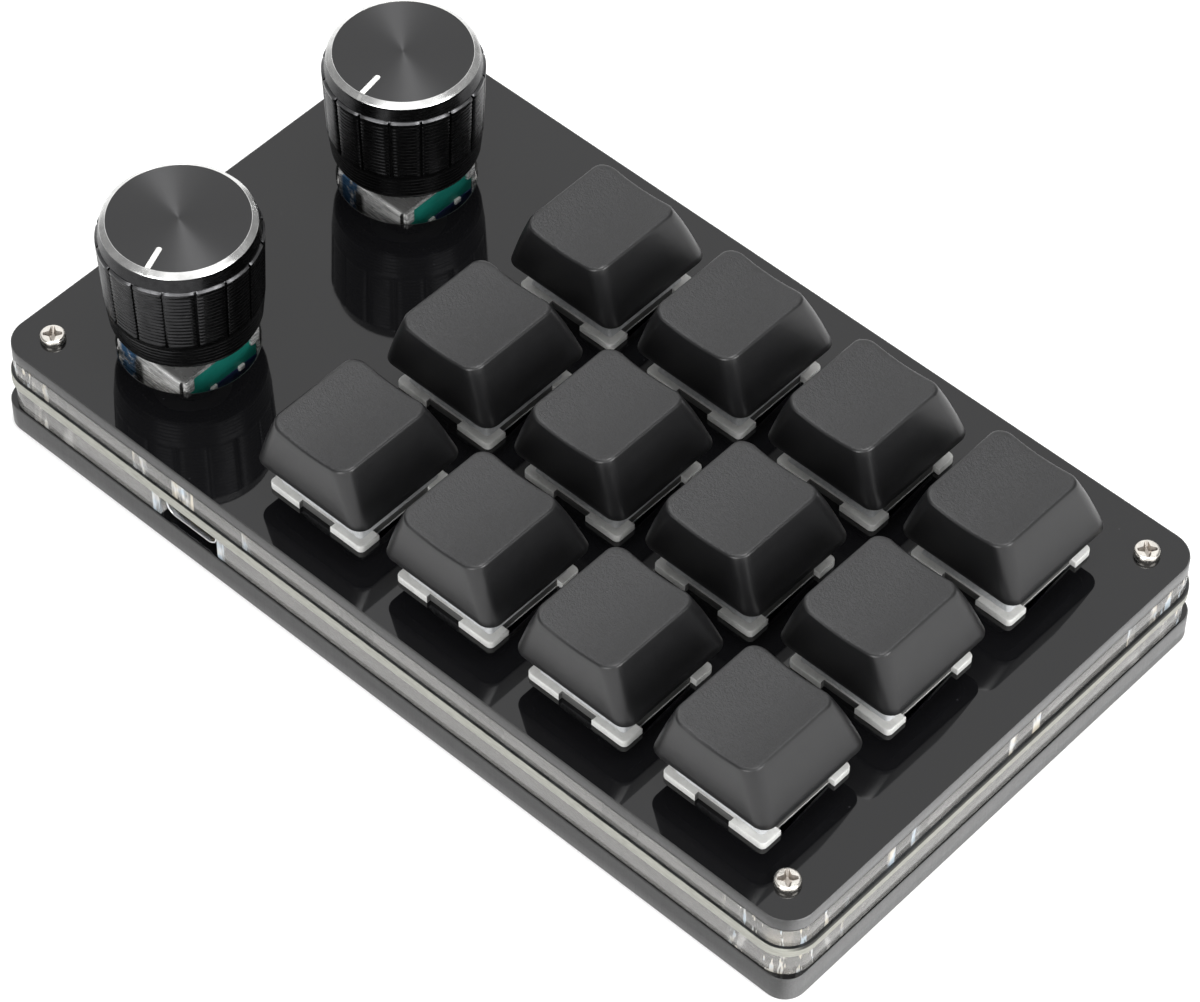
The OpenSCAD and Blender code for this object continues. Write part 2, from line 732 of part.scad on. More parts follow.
// Knob: turned body with grip slots, a pointer groove and a bore for the core
module knob(k) {
    bore_depth = knob_hollow_depth + shaft_grip + core_end_gap + core_roof;
    color("#1c1c1e")
    translate([0, 0, z_knob]) difference() {
        rotate_extrude($fn = 128) knob_profile();
        translate([0, 0, -cut]) cylinder(d = knob_hollow_d, h = knob_hollow_depth + cut);
        translate([0, 0, -cut]) cylinder(r = core_d / 2 + core_gap, h = bore_depth + cut);
        for (i = [0:grip_slots - 1]) rotate([0, 0, (i + 0.5) * 360 / grip_slots])
            translate([waist_r - grip_slot_depth, -grip_slot_w / 2, grip_low])
                rotate([0, slot_lean, 0]) cube([knob_d / 4, grip_slot_w, grip_high - grip_low]);
        rotate([0, 0, pointer_angle(k)])
            translate([knob_face_d / 2 - pointer_length, -pointer_w / 2, knob_h - pointer_depth])
                cube([knob_d, pointer_w, pointer_depth + cut]);
    }
}

// Plastic core that grips the shaft's flat
module knob_core(k) {
    length = shaft_grip + core_end_gap + core_roof;
    color("#e6e6e2")
    translate([0, 0, z_knob + knob_hollow_depth]) difference() {
        cylinder(d = core_d, h = length);
        translate([0, 0, -cut]) rotate([0, 0, pointer_angle(k)])
            shaft_end(shaft_d / 2 + core_gap, shaft_flat + core_gap, shaft_grip + core_end_gap + cut);
    }
}

// Round bar with a flat towards +X
module shaft_end(r, flat, length) {
    intersection() {
        cylinder(r = r, h = length);
        translate([flat - 2 * r, -2 * r, 0]) cube([2 * r, 4 * r, length]);
    }
}

// Encoder shaft: keyed tail, round middle that runs in the bushing, and flatted end
module shaft(k) {
    z_grip = z_knob + knob_hollow_depth - z_board;
    color("#b8babc")
    translate([0, 0, z_board]) rotate([0, 0, pointer_angle(k)]) {
        translate([0, 0, z_tail]) shaft_end(tail_d / 2, tail_flat, z_shoulder - z_tail + cut);
        translate([0, 0, z_shoulder]) cylinder(d = shaft_d, h = z_grip - z_shoulder);
        translate([0, 0, z_grip - cut]) shaft_end(shaft_d / 2, shaft_flat, shaft_grip + cut);
    }
}

// Rotor disc that turns with the shaft and lets it slide
module rotor(k) {
    color("#ded9c8")
    translate([0, 0, z_board + z_rotor]) difference() {
        cylinder(d = rotor_d, h = z_rotor_top - z_rotor);
        translate([0, 0, -cut]) rotate([0, 0, pointer_angle(k)])
            shaft_end(tail_d / 2 + shaft_gap, tail_flat + shaft_gap, z_rotor_top - z_rotor + 2 * cut);
    }
}

// Plastic encoder body with a round chamber for the rotor
module encoder_bases() {
    color("#1f7a70")
    at_knobs() translate([0, 0, z_board]) difference() {
        block(encoder_length, encoder_width, encoder_h);
        translate([0, 0, encoder_floor]) cylinder(r = cavity_r, h = encoder_h);
        at_terminals() translate([0, 0, -cut]) cylinder(r = terminal_d / 2 + slot_gap, h = 2 * cut);
    }
}

// Metal bracket: lid, two folded sides with lugs, and the threaded bushing
module encoder_brackets() {
    color("#c6c8c9")
    at_knobs() translate([0, 0, z_board]) difference() {
        union() {
            translate([0, 0, encoder_h]) block(encoder_length, encoder_width + 2 * bracket_side_t, bracket_t);
            for (s = [-1, 1]) translate([0, s * (encoder_width + bracket_side_t) / 2, 0]) {
                translate([0, 0, encoder_floor])
                    block(encoder_length, bracket_side_t, z_bracket - encoder_floor);
                translate([0, 0, -lug_depth])
                    block(lug_width, bracket_side_t, lug_depth + encoder_floor + cut);
            }
            translate([0, 0, z_bracket - bracket_t / 2])
                cylinder(d = bushing_d, h = bushing_length + bracket_t / 2);
        }
        cylinder(r = shaft_d / 2 + shaft_gap, h = z_bracket + bushing_length + cut);
    }
}

// Children at each encoder terminal: three at the back, two at the front
module at_terminals() {
    y = encoder_width / 2 - 2 * terminal_d;
    for (x = [-1, 0, 1]) translate([x * terminal_pitch, y, 0]) children();
    for (x = [-1, 1]) translate([x * terminal_pitch, -y, 0]) children();
}

module encoder_terminals() {
    color("#d8c9a0")
    at_knobs() translate([0, 0, z_board - pcb_t - terminal_end])
        at_terminals() cylinder(d = terminal_d, h = pcb_t + terminal_end + cut);
}

// Outline of the socket, a bar with half-round ends
module socket_outline(inset) {
    height = socket_h - 2 * inset;
    span = socket_width - socket_h;
    square([span, height], center = true);
    for (s = [-1, 1]) translate([s * span / 2, 0]) circle(d = height);
}

module usb_shell() {
    color("#c9ccce")
    translate([socket_x, socket_mouth_y, z_pcb - socket_h / 2]) rotate([90, 0, 0])
        linear_extrude(socket_length) difference() {
            socket_outline(0);
            socket_outline(socket_wall);
        }
}

module usb_tongue() {
    color("#17181a")
    translate([socket_x, socket_mouth_y, z_pcb - socket_h / 2]) {
        translate([0, -socket_length + tongue_block, 0]) rotate([90, 0, 0])
            linear_extrude(tongue_block) socket_outline(socket_wall + slot_gap);
        translate([-tongue_width / 2, -socket_length + tongue_block / 2, -tongue_t / 2])
            cube([tongue_width, socket_length - tongue_block / 2 - tongue_set_back, tongue_t]);
    }
}

module microcontroller() {
    lead_w = 0.35;
    lead_l = 1;
    lead_t = 0.2;
    lead_pitch = chip_side / (chip_leads + 1);
    color("#1b1b1d")
    translate([socket_x, chip_y, z_pcb - chip_t]) {
        block(chip_side, chip_side, chip_t);
        for (turn = [0, 90], i = [1:chip_leads])
            rotate([0, 0, turn]) translate([i * lead_pitch - chip_side / 2, 0, chip_t - lead_t])
                block(lead_w, chip_side + 2 * lead_l, lead_t);
    }
}

bottom_plate();
lower_spacer();
pcb();
upper_spacer();
top_plate();
corner_screws();
corner_nuts();
switch_bottoms();
switch_tops();
switch_contacts();
usb_shell();
usb_tongue();
microcontroller();
encoder_bases();
encoder_brackets();
encoder_terminals();
for (r = [0:len(ROWS) - 1], c = [0:len(COLUMNS) - 1]) translate([key_x(c), key_y(r), 0]) {
    keycap();
    stem();
    spring();
}
for (k = [0:len(KNOB_NAMES) - 1]) translate([knob_x, knob_y(k), 0]) {
    knob(k);
    knob_core(k);
    shaft(k);
    rotor(k);
}
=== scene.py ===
"""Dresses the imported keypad: plates, switches, keycaps, encoders and knobs, each with its own finish."""

import math

import bmesh
import bpy
from mathutils import Euler, Matrix, Vector
from mathutils.geometry import tessellate_polygon


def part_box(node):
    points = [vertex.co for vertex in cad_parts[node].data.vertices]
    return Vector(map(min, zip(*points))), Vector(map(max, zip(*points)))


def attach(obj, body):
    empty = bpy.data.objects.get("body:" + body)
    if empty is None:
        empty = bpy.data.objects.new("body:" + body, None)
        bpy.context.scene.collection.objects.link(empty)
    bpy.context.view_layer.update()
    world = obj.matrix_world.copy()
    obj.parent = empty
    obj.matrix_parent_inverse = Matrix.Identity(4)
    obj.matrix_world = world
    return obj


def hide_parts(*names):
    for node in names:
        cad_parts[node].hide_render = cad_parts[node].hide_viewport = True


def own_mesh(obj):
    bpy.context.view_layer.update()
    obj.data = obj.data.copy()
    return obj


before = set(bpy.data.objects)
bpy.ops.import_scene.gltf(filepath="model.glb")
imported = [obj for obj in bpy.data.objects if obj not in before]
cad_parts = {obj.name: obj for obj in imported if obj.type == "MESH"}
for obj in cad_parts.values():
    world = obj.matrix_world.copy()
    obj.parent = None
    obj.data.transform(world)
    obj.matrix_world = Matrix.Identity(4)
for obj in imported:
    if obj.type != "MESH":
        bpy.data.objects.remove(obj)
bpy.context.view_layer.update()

bl_info = {
    "name": "Macro keypad",
    "version": (1, 0, 0),
    "blender": (4, 5, 0),
    "location": "3D View > Sidebar > Keypad",
    "description": "Builds the plates, keys, knobs and stage of a macro keypad",
    "category": "Object",
}

MM = 0.001
KEYS = [row + column for row in "abc" for column in "1234"]
KNOBS = ["1", "2"]
SIDES = (-1, 1)
# Points closer than this, in metres, become one, and edges that turn more than this stay sharp
WELD_DISTANCE = 2e-7
SHARP_ANGLE = math.radians(48)


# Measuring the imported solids, in millimetres

def low(node):
    """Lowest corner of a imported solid."""
    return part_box(node)[0] / MM


def high(node):
    """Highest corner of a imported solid."""
    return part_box(node)[1] / MM


def span(node):
    """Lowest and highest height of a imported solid."""
    return low(node).z, high(node).z


def middle(node):
    """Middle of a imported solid's box, in the plane."""
    centre = (low(node) + high(node)) / 2
    return centre.x, centre.y


def key_centre(key):
    """Place of a key's stem in the plane."""
    return middle("stem_" + key)


def knob_centre(knob):
    """Place of a knob's axis in the plane."""
    return middle("knob_" + knob)


TOP = high("top_plate").z
BOARD_TOP = high("pcb").z
SOCKET_X = middle("usb_shell")[0]
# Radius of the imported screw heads, and the smaller heads drawn in their place
SCREW_RADIUS = 1.95
HEAD_RADIUS = 1.65
HEAD_HEIGHT = 1.0
NUT_HALF = (high("corner_nuts").y - high("corner_screws").y) + SCREW_RADIUS
# How far a hexagon's corners lie out, against its flats
HEXAGON = 2 / math.sqrt(3)

# Contact slots of a switch and terminals of an encoder, from their own centres
SWITCH_PINS = ((-3.81, 2.54), (2.54, 5.08))
SWITCH_RIM = TOP + 1
SWITCH_FLOOR = BOARD_TOP + 1.2
CROSS_HEIGHT = 3.5
ENCODER_HALF_X = (high("encoder_bases").x - low("encoder_bases").x) / 2
ENCODER_HALF_Y = high("encoder_bases").y - knob_centre("1")[1]
BRACKET_HALF_Y = high("encoder_brackets").y - knob_centre("1")[1]
BRACKET_TOP = BOARD_TOP + 6.5
TERMINAL_Y = ENCODER_HALF_Y - 1.6
ENCODER_PINS = [(x, TERMINAL_Y) for x in (-2.5, 0, 2.5)] + [(x, -TERMINAL_Y) for x in (-2.5, 2.5)]


def screw_places():
    """Places of the four corner screws, in the plane."""
    x, y = high("corner_screws").x - SCREW_RADIUS, high("corner_screws").y - SCREW_RADIUS
    return [(x, y), (-x, y), (-x, -y), (x, -y)]


# Outlines: lists of points in the plane, anticlockwise, in millimetres

def arc(centre, radius, start, stop, steps):
    """Points along an arc, both ends included."""
    angles = [math.radians(start + (stop - start) * i / steps) for i in range(steps + 1)]
    return [(centre[0] + radius * math.cos(a), centre[1] + radius * math.sin(a)) for a in angles]


def ring(radius, count, centre=(0, 0)):
    """Points round a circle."""
    return arc(centre, radius, 0, 360, count)[:-1]


def soft_rectangle(length, width, radius, steps=6, centre=(0, 0)):
    """Outline of a rectangle with round corners."""
    x, y = length / 2 - radius, width / 2 - radius
    outline = []
    for cx, cy, start in ((x, y, 0), (-x, y, 90), (-x, -y, 180), (x, -y, 270)):
        outline += arc((centre[0] + cx, centre[1] + cy), radius, start, start + 90, steps)
    return outline


def soft_corners(points, radius, steps=3):
    """Outline with each of its corners rounded."""
    outline = []
    for i, here in enumerate(points):
        here = Vector(here)
        back = (Vector(points[i - 1]) - here).normalized()
        ahead = (Vector(points[(i + 1) % len(points)]) - here).normalized()
        for k in range(steps + 1):
            t = k / steps
            outline.append(tuple(here + back * radius * (1 - t) ** 2 + ahead * radius * t ** 2))
    return outline


def cross(reach, half_tip, half_root, radius, turn=0):
    """Outline of a plus sign, with arms that may narrow towards their tips."""
    outline = []
    for k in range(4):
        spin = Matrix.Rotation(math.radians(90 * k), 2)
        for point in ((reach, -half_tip), (reach, half_tip), (half_root, half_root)):
            outline.append(tuple(spin @ Vector(point)))
    turned = Matrix.Rotation(math.radians(turn), 2)
    return [tuple(turned @ Vector(p)) for p in soft_corners(outline, radius, 2)]


def inset(outline, distance):
    """Outline moved inwards by a distance, or outwards by a negative one."""
    moved = []
    for i, here in enumerate(outline):
        here = Vector(here)
        before = here - Vector(outline[i - 1])
        after = Vector(outline[(i + 1) % len(outline)]) - here
        mitre = Vector((-before.y, before.x)).normalized() + Vector((-after.y, after.x)).normalized()
        moved.append(tuple(here + mitre * distance / max(mitre.length_squared / 2, 0.3)))
    return moved


def lifted(outline, z):
    """Outline as points at one height."""
    return [Vector((x, y, z)) for x, y in outline]


def soft_profile(low_z, high_z, edge):
    """Insets and heights up an upright wall with soft edges."""
    steps = [(edge, 0), (edge * 0.3, edge * 0.3), (0, edge)]
    return [(i, low_z + dz) for i, dz in steps] + [(i, high_z - dz) for i, dz in reversed(steps)]


# Shapes: points and faces gathered in millimetres, then made into one piece

class Shape:
    """Points and faces of a piece, with a finish number and a flat or smooth mark for each face."""

    def __init__(self):
        self.points, self.faces, self.finishes, self.smooth = [], [], [], []

    def add(self, points, faces, finish=0, smooth=True):
        """Adds faces given by numbers into their own list of points."""
        start = len(self.points)
        self.points += [Vector(p) for p in points]
        self.faces += [[start + i for i in face] for face in faces]
        self.finishes += [finish] * len(faces)
        self.smooth += [smooth] * len(faces)

    def wall(self, rings, finish=0, smooth=True):
        """Joins rings of equally many points with quads."""
        count = len(rings[0])
        faces = []
        for row in range(0, (len(rings) - 1) * count, count):
            for i in range(count):
                j = (i + 1) % count
                faces.append([row + i, row + j, row + count + j, row + count + i])
        self.add([p for one in rings for p in one], faces, finish, smooth)

    def lid(self, outer, holes=(), finish=0):
        """Fills a flat outline, leaving its holes open."""
        loops = [list(outer)] + [list(h) for h in holes]
        self.add([p for one in loops for p in one], tessellate_polygon(loops), finish, False)

    def fan(self, rim, tip, finish=0):
        """Closes a ring with triangles to one point."""
        count = len(rim)
        self.add(list(rim) + [Vector(tip)], [[i, (i + 1) % count, count] for i in range(count)], finish)

    def rod(self, rings, finish=0):
        """Wall closed at both ends."""
        self.wall(rings, finish)
        self.lid(rings[0], (), finish)
        self.lid(rings[-1], (), finish)

    def stack(self, outline, steps, finish=0, smooth=True):
        """Wall through pairs of an outline's inset and its height."""
        self.wall([lifted(inset(outline, i), z) for i, z in steps], finish, smooth)

    def rise(self, outline, start_z, end_z, finish=0):
        """Upright wall between two heights."""
        self.stack(outline, [(0, start_z), (0, end_z)], finish)

    def flat(self, outline, z, holes=(), finish=0):
        """Level face, leaving its holes open."""
        self.lid(lifted(outline, z), [lifted(hole, z) for hole in holes], finish)

    def peg(self, outline, steps, finish=0):
        """Wall through insets and heights, closed at its last step."""
        self.stack(outline, steps, finish)
        self.flat(inset(outline, steps[-1][0]), steps[-1][1], (), finish)

    def plate(self, outline, holes, low_z, high_z, edge, face_finish=0, edge_finish=0):
        """A flat plate with soft-edged outline and holes."""
        profile = soft_profile(low_z, high_z, edge)
        self.stack(outline, profile, edge_finish)
        for hole in holes:
            self.stack(hole, [(-i, z) for i, z in profile], edge_finish)
        for z in (low_z, high_z):
            self.flat(inset(outline, edge), z, [inset(hole, -edge) for hole in holes], face_finish)

    def block(self, corner, opposite, edge, finish=0):
        """A box with soft edges all round, between two opposite corners."""
        (x0, x1), (y0, y1), (z0, z1) = (sorted(pair) for pair in zip(corner, opposite))
        centre = ((x0 + x1) / 2, (y0 + y1) / 2)
        outline = soft_rectangle(x1 - x0, y1 - y0, edge * 1.01, 2, centre)
        self.plate(outline, [], z0, z1, edge, finish, finish)

    def strip(self, profile, x0, x1, finish=0, skip=()):
        """Draws a closed outline of y and z along x, leaving out some of its sides."""
        count = len(profile)
        for i, (y, z) in enumerate(profile):
            if i not in skip:
                ny, nz = profile[(i + 1) % count]
                self.add([(x0, y, z), (x1, y, z), (x1, ny, nz), (x0, ny, nz)], [[0, 1, 2, 3]], finish)
        for x in (x0, x1):
            self.lid([Vector((x, y, z)) for y, z in profile], [], finish)

    def move(self, start, matrix):
        """Moves the points from a given number on."""
        self.points[start:] = [matrix @ p for p in self.points[start:]]

    def turn(self, start, degrees):
        """Turns the points from a given number on about the z axis."""
        self.move(start, Matrix.Rotation(math.radians(degrees), 4, "Z"))

    def shift(self, start, place):
        """Moves the points from a given number on to a place in the plane."""
        self.move(start, Matrix.Translation((*place, 0)))

    def put(self, build, place):
        """Lets a function add points about the origin and moves them to a place in the plane."""
        start = len(self.points)
        build(self)
        self.shift(start, place)

    def piece(self, name, body, slot, finishes, *replaced):
        """Makes the object, in metres, riding on its body."""
        mesh = bpy.data.meshes.new(name)
        mesh.from_pydata([p * MM for p in self.points], [], self.faces)
        for finish in finishes:
            mesh.materials.append(finish.material)
        mesh.polygons.foreach_set("material_index", self.finishes)
        mesh.polygons.foreach_set("use_smooth", self.smooth)
        welded = bmesh.new()
        welded.from_mesh(mesh)
        bmesh.ops.remove_doubles(welded, verts=welded.verts, dist=WELD_DISTANCE)
        bmesh.ops.dissolve_degenerate(welded, edges=welded.edges, dist=WELD_DISTANCE / 2)
        bmesh.ops.recalc_face_normals(welded, faces=welded.faces)
        welded.to_mesh(mesh)
        welded.free()
        shades = [polygon.use_smooth for polygon in mesh.polygons]
        mesh.set_sharp_from_angle(angle=SHARP_ANGLE)
        mesh.polygons.foreach_set("use_smooth", shades)
        made = bpy.data.objects.new(name, mesh)
        bpy.context.scene.collection.objects.link(made)
        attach(made, body)
        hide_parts(*replaced)
        return made


def build_on_case(places, *rows):
    """Builds a piece of the case for each row, with its shape repeated at some places in the plane."""
    for name, slot, build, finishes, node in rows:
        shape = Shape()
        for place in places:
            shape.put(build, place)
        shape.piece(name, "case", slot, finishes, node)


# Finishes: materials made of nodes, with patterns measured in millimetres

def add_node(tree, kind, inputs=None, **options):
    """Adds a shader node, sets its options and sets or links its inputs."""
    node = tree.nodes.new("ShaderNode" + kind)
    for label, value in options.items():
        setattr(node, label, value)
    for label, value in (inputs or {}).items():
        if isinstance(value, bpy.types.NodeSocket):
            tree.links.new(value, node.inputs[label])
        else:
            node.inputs[label].default_value = value
    return node


def add_range(tree, source, low_in, high_in, low_value, high_value, **options):
    """Maps a pattern's range to another range of numbers."""
    labels = ("Value", "From Min", "From Max", "To Min", "To Max")
    inputs = dict(zip(labels, (source, low_in, high_in, low_value, high_value)))
    return add_node(tree, "MapRange", inputs, **options).outputs["Result"]


class Finish:
    """A material and the small helpers that build its pattern."""

    def __init__(self, name, colour, **values):
        self.material = bpy.data.materials.new(name)
        self.material.use_nodes = True
        self.tree = self.material.node_tree
        self.shader = self.tree.nodes["Principled BSDF"]
        self.material.diffuse_color = (*colour[:3], 1)
        self.set("Base Color", (*colour[:3], 1))
        for label, value in values.items():
            self.set(label.replace("_", " "), value)
        self.place = None

    def set(self, label, value):
        """Sets a socket of the shader."""
        self.shader.inputs[label].default_value = value

    def link(self, source, label):
        """Feeds a pattern into a socket of the shader."""
        self.tree.links.new(source, self.shader.inputs[label])

    def add(self, kind, inputs=None, **options):
        """Adds a node to the material."""
        return add_node(self.tree, kind, inputs, **options)

    def spot(self):
        """Place on the piece in millimetres."""
        if self.place is None:
            place = self.add("TexCoord").outputs["Object"]
            self.place = self.add("VectorMath", {0: place, "Scale": 1 / MM}, operation="SCALE").outputs[0]
        return self.place

    def axis(self, name):
        """One coordinate of the place."""
        return self.add("SeparateXYZ", {0: self.spot()}).outputs[name]

    def stretched(self, stretch, centre=(0, 0, 0)):
        """Place with each axis scaled by its own amount, about a centre."""
        away = [-c * s for c, s in zip(centre, stretch)]
        return self.add("Mapping", {"Vector": self.spot(), "Location": away, "Scale": stretch}).outputs[0]

    def height(self, bottom, top):
        """0 at one height and 1 at another."""
        return self.between(self.axis("Z"), 0, 1, bottom, top)

    def at_end(self, end):
        """1 on the left end of a plate, fading to 0 round its corners."""
        return self.between(self.axis("X"), 1, 0, end + 0.3, end + 1.5)

    def noise(self, per_mm, detail=4, roughness=0.6, place=None):
        """Cloudy pattern with features of about 1 / per_mm millimetres."""
        inputs = {"Vector": place or self.spot(), "Scale": per_mm, "Detail": detail, "Roughness": roughness}
        return self.add("TexNoise", inputs).outputs["Fac"]

    def specks(self, per_mm, size):
        """1 in small scattered round specks, 0 between them."""
        cells = self.add("TexVoronoi", {"Vector": self.spot(), "Scale": per_mm})
        return self.between(cells.outputs["Distance"], 1, 0, size * 0.6, size)

    def rings(self, per_mm, distortion, centre):
        """Concentric turning lines about an upright axis."""
        place = self.stretched((1, 1, 0.01), centre)
        inputs = {"Vector": place, "Scale": per_mm, "Distortion": distortion, "Detail": 2}
        return self.add("TexWave", inputs, wave_type="RINGS", rings_direction="Z").outputs["Fac"]

    def near(self, places, reach, soft):
        """1 close to any of some upright axes, fading to 0 at a distance."""
        flat = self.stretched((1, 1, 0))
        result = None
        for place in places:
            away = self.add("VectorMath", {0: flat, 1: (*place, 0)}, operation="DISTANCE")
            share = self.between(away.outputs["Value"], 1, 0, reach - soft, reach)
            result = share if result is None else self.combined(result, share, "MAXIMUM")
        return result

    def combined(self, a, b, operation="MULTIPLY"):
        """Two patterns put together point by point."""
        return self.add("Math", {0: a, 1: b}, operation=operation).outputs[0]

    def ramp(self, source, *stops):
        """Maps a pattern to colours at given positions."""
        node = self.add("ValToRGB", {"Fac": source})
        elements = node.color_ramp.elements
        while len(elements) < len(stops):
            elements.new(0.5)
        for element, (position, colour) in zip(elements, stops):
            element.position = position
            element.color = (*colour[:3], 1)
        return node.outputs["Color"]

    def tones(self, source, colour, darker, lighter, low_in=0.3, high_in=0.7):
        """Moves a colour between a darker and a lighter tone by a pattern."""
        return self.ramp(source, (low_in, tint(colour, darker)), (high_in, tint(colour, lighter)))

    def between(self, source, low_value, high_value, low_in=0.3, high_in=0.7):
        """Maps a pattern to a range of numbers."""
        return add_range(self.tree, source, low_in, high_in, low_value, high_value)

    def mixed(self, share, first, second):
        """Goes from one colour or pattern to another colour or pattern by a share."""
        node = self.add("Mix", {"Factor": share}, data_type="RGBA")
        sockets = [socket for socket in node.inputs if socket.type == "RGBA"]
        for value, socket in zip((first, second), sockets):
            if isinstance(value, bpy.types.NodeSocket):
                self.tree.links.new(value, socket)
            else:
                socket.default_value = (*value[:3], 1)
        return next(socket for socket in node.outputs if socket.type == "RGBA")

    def tones_from(self, source, colour, darker, lighter, low_in=0.3, high_in=0.7):
        """Lets a pattern move the base colour between a darker and a lighter tone."""
        self.link(self.tones(source, colour, darker, lighter, low_in, high_in), "Base Color")

    def roughness_from(self, source, low_value, high_value, low_in=0.3, high_in=0.7):
        """Lets a pattern move the roughness between two values."""
        self.link(self.between(source, low_value, high_value, low_in, high_in), "Roughness")

    def relief(self, source, depth_mm, strength=1.0):
        """Raises and lowers the surface by a pattern. Reliefs add up."""
        node = self.add("Bump", {"Height": source, "Distance": depth_mm * MM, "Strength": strength})
        normal = self.shader.inputs["Normal"]
        if normal.links:
            self.tree.links.new(normal.links[0].from_socket, node.inputs["Normal"])
        self.link(node.outputs["Normal"], "Normal")


def tint(colour, factor):
    """Colour made lighter or darker."""
    return tuple(min(1.0, c * factor) for c in colour[:3])


def dress(node, finish):
    """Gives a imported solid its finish."""
    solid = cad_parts[node]
    solid.data.materials.clear()
    solid.data.materials.append(finish.material)


def acrylic_black(name, settings):
    """Polished black sheet with faint smears and dust."""
    finish = Finish(name, settings.black, IOR=1.5)
    smears = finish.noise(0.06, 5, 0.65)
    finish.roughness_from(smears, settings.gloss, settings.gloss + 0.04)
    finish.tones_from(finish.specks(0.25, 0.04), settings.black, 1, 4, 0, 1)
    return finish


def acrylic_cut_edge(name, settings, end):
    """Cut edge of black sheet, with fine upright beam lines. The left end is painted paler: painted light in
    place of the brighter light that falls on that end.
    """
    finish = Finish(name, settings.black_edge, IOR=1.5)
    lines = finish.noise(1, 3, 0.5, finish.stretched((7, 7, 0.15)))
    grain = finish.noise(5, 3, 0.6)
    finish.roughness_from(lines, 0.3, 0.42)
    long_sides = finish.tones(grain, settings.black_edge, 0.7, 1.3)
    # Painted light: the left end gets a paler colour, standing in for the stronger light on it.
    painted_lit_left_end = finish.tones(grain, settings.black_end_painted_light, 0.8, 1.2)
    finish.link(finish.mixed(finish.at_end(end), long_sides, painted_lit_left_end), "Base Color")
    finish.relief(lines, 0.012, 0.4)
    finish.relief(grain, 0.02, 0.5)
    return finish


def acrylic_clear(name, colour):
    """Polished face of clear sheet, with faint smears."""
    finish = Finish(name, colour, IOR=1.49, Transmission_Weight=1.0)
    finish.roughness_from(finish.noise(0.2, 3), 0.01, 0.04)
    return finish


def acrylic_clear_edge(name, colour, windows):
    """Cut edge of clear sheet, with fine upright beam lines. Painted glints: beside screws and openings it is
    painted paler and tinted, and lets less light through, in place of light carried out through the sheet.
    """
    finish = Finish(name, colour, IOR=1.49)
    lines = finish.noise(1, 3, 0.5, finish.stretched((5, 5, 0.1)))
    streaks = finish.noise(1, 3, 0.6, finish.stretched((0.9, 0.9, 0.15)))
    layers = finish.noise(1, 2, 0.5, finish.stretched((0.1, 0.1, 2.5)))
    corner = finish.near(screw_places(), 8, 3)
    # Painted glints: the edge is painted paler beside the screws and beside openings inside.
    painted_glints_by_screws = finish.combined(corner, finish.between(streaks, 0, 0.8, 0.57, 0.61))
    painted_glints_by_openings = finish.combined(finish.near(windows, 0.8, 0.2), finish.between(streaks, 0.15, 0.9, 0.4, 0.6))
    painted_glints = finish.combined(painted_glints_by_screws, painted_glints_by_openings, "MAXIMUM")
    # Tints of the painted glints, for light seen through the edge.
    bluish, white, golden = (0.62, 0.74, 0.85), (0.85, 0.85, 0.83), (0.88, 0.8, 0.64)
    painted_glint_tint = finish.ramp(finish.noise(0.35, 2), (0.4, bluish), (0.5, white), (0.6, golden))
    finish.link(finish.mixed(painted_glints, colour, painted_glint_tint), "Base Color")
    finish.link(finish.between(painted_glints, 0.78, 0.3, 0, 1), "Transmission Weight")
    finish.roughness_from(lines, 0.1, 0.22)
    finish.relief(lines, 0.008, 0.3)
    finish.relief(finish.combined(corner, layers), 0.06, 0.6)
    return finish


def moulded(name, colour, rough_low, rough_high, grain_per_mm, grain_mm, **values):
    """Moulded plastic with a fine grain and slight clouding."""
    finish = Finish(name, colour, **values)
    grain = finish.noise(grain_per_mm, 3, 0.55)
    finish.roughness_from(grain, rough_low, rough_high)
    finish.tones_from(finish.noise(0.5, 3), colour, 0.9, 1.1)
    finish.relief(grain, grain_mm, 0.8)
    return finish


def metal(name, colour, rough_low, rough_high, stretch=(6, 6, 6), depth_mm=0.004):
    """Plain metal with fine directional marks and slight tarnish."""
    finish = Finish(name, colour, Metallic=1.0)
    marks = finish.noise(1, 4, 0.6, finish.stretched(stretch))
    finish.roughness_from(marks, rough_low, rough_high)
    finish.tones_from(finish.noise(1.2, 4), colour, 0.85, 1.08)
    finish.relief(marks, depth_mm, 0.6)
    return finish


# Settings that a user would change

def length_setting(name, text, default_mm):
    """A size in metres."""
    return bpy.props.FloatProperty(
        name=name, description=text, default=default_mm * MM, min=0, precision=5,
        unit="LENGTH", subtype="DISTANCE",
    )


def colour_setting(name, text, default):
    """A colour."""
    return bpy.props.FloatVectorProperty(
        name=name, description=text, default=default, min=0, max=1, size=3, subtype="COLOR"
    )


def level_setting(name, text, default):
    """A brightness or roughness."""
    return bpy.props.FloatProperty(name=name, description=text, default=default, min=0, soft_max=2)


class KEYPAD_PG_plates(bpy.types.PropertyGroup):
    """Sizes and colours of the plate stack"""

    edge: length_setting("Edge", "Radius of the plates' soft edges", 0.15)
    black: colour_setting("Black sheet", "Colour of the black plates", (0.004, 0.004, 0.0045))
    black_edge: colour_setting("Black edge", "Colour of the black plates' cut edges", (0.03, 0.03, 0.03))
    # Painted light: a paler colour for the left ends, in place of the stronger light that falls on them.
    black_end_painted_light: colour_setting("Black end", "Colour of the black plates' left ends", (0.11, 0.11, 0.11))
    clear: colour_setting("Clear sheet", "Tint of the clear plates", (0.9, 0.92, 0.92))
    clear_edge: colour_setting("Clear edge", "Tint of the clear plates' cut edges", (0.58, 0.57, 0.55))
    gloss: level_setting("Sheet roughness", "Roughness of the polished faces", 0.02)
    board: colour_setting("Board", "Colour of the board's mask", (0.012, 0.013, 0.014))
    board_edge: colour_setting("Board edge", "Colour of the board's cut edge", (0.3, 0.3, 0.265))


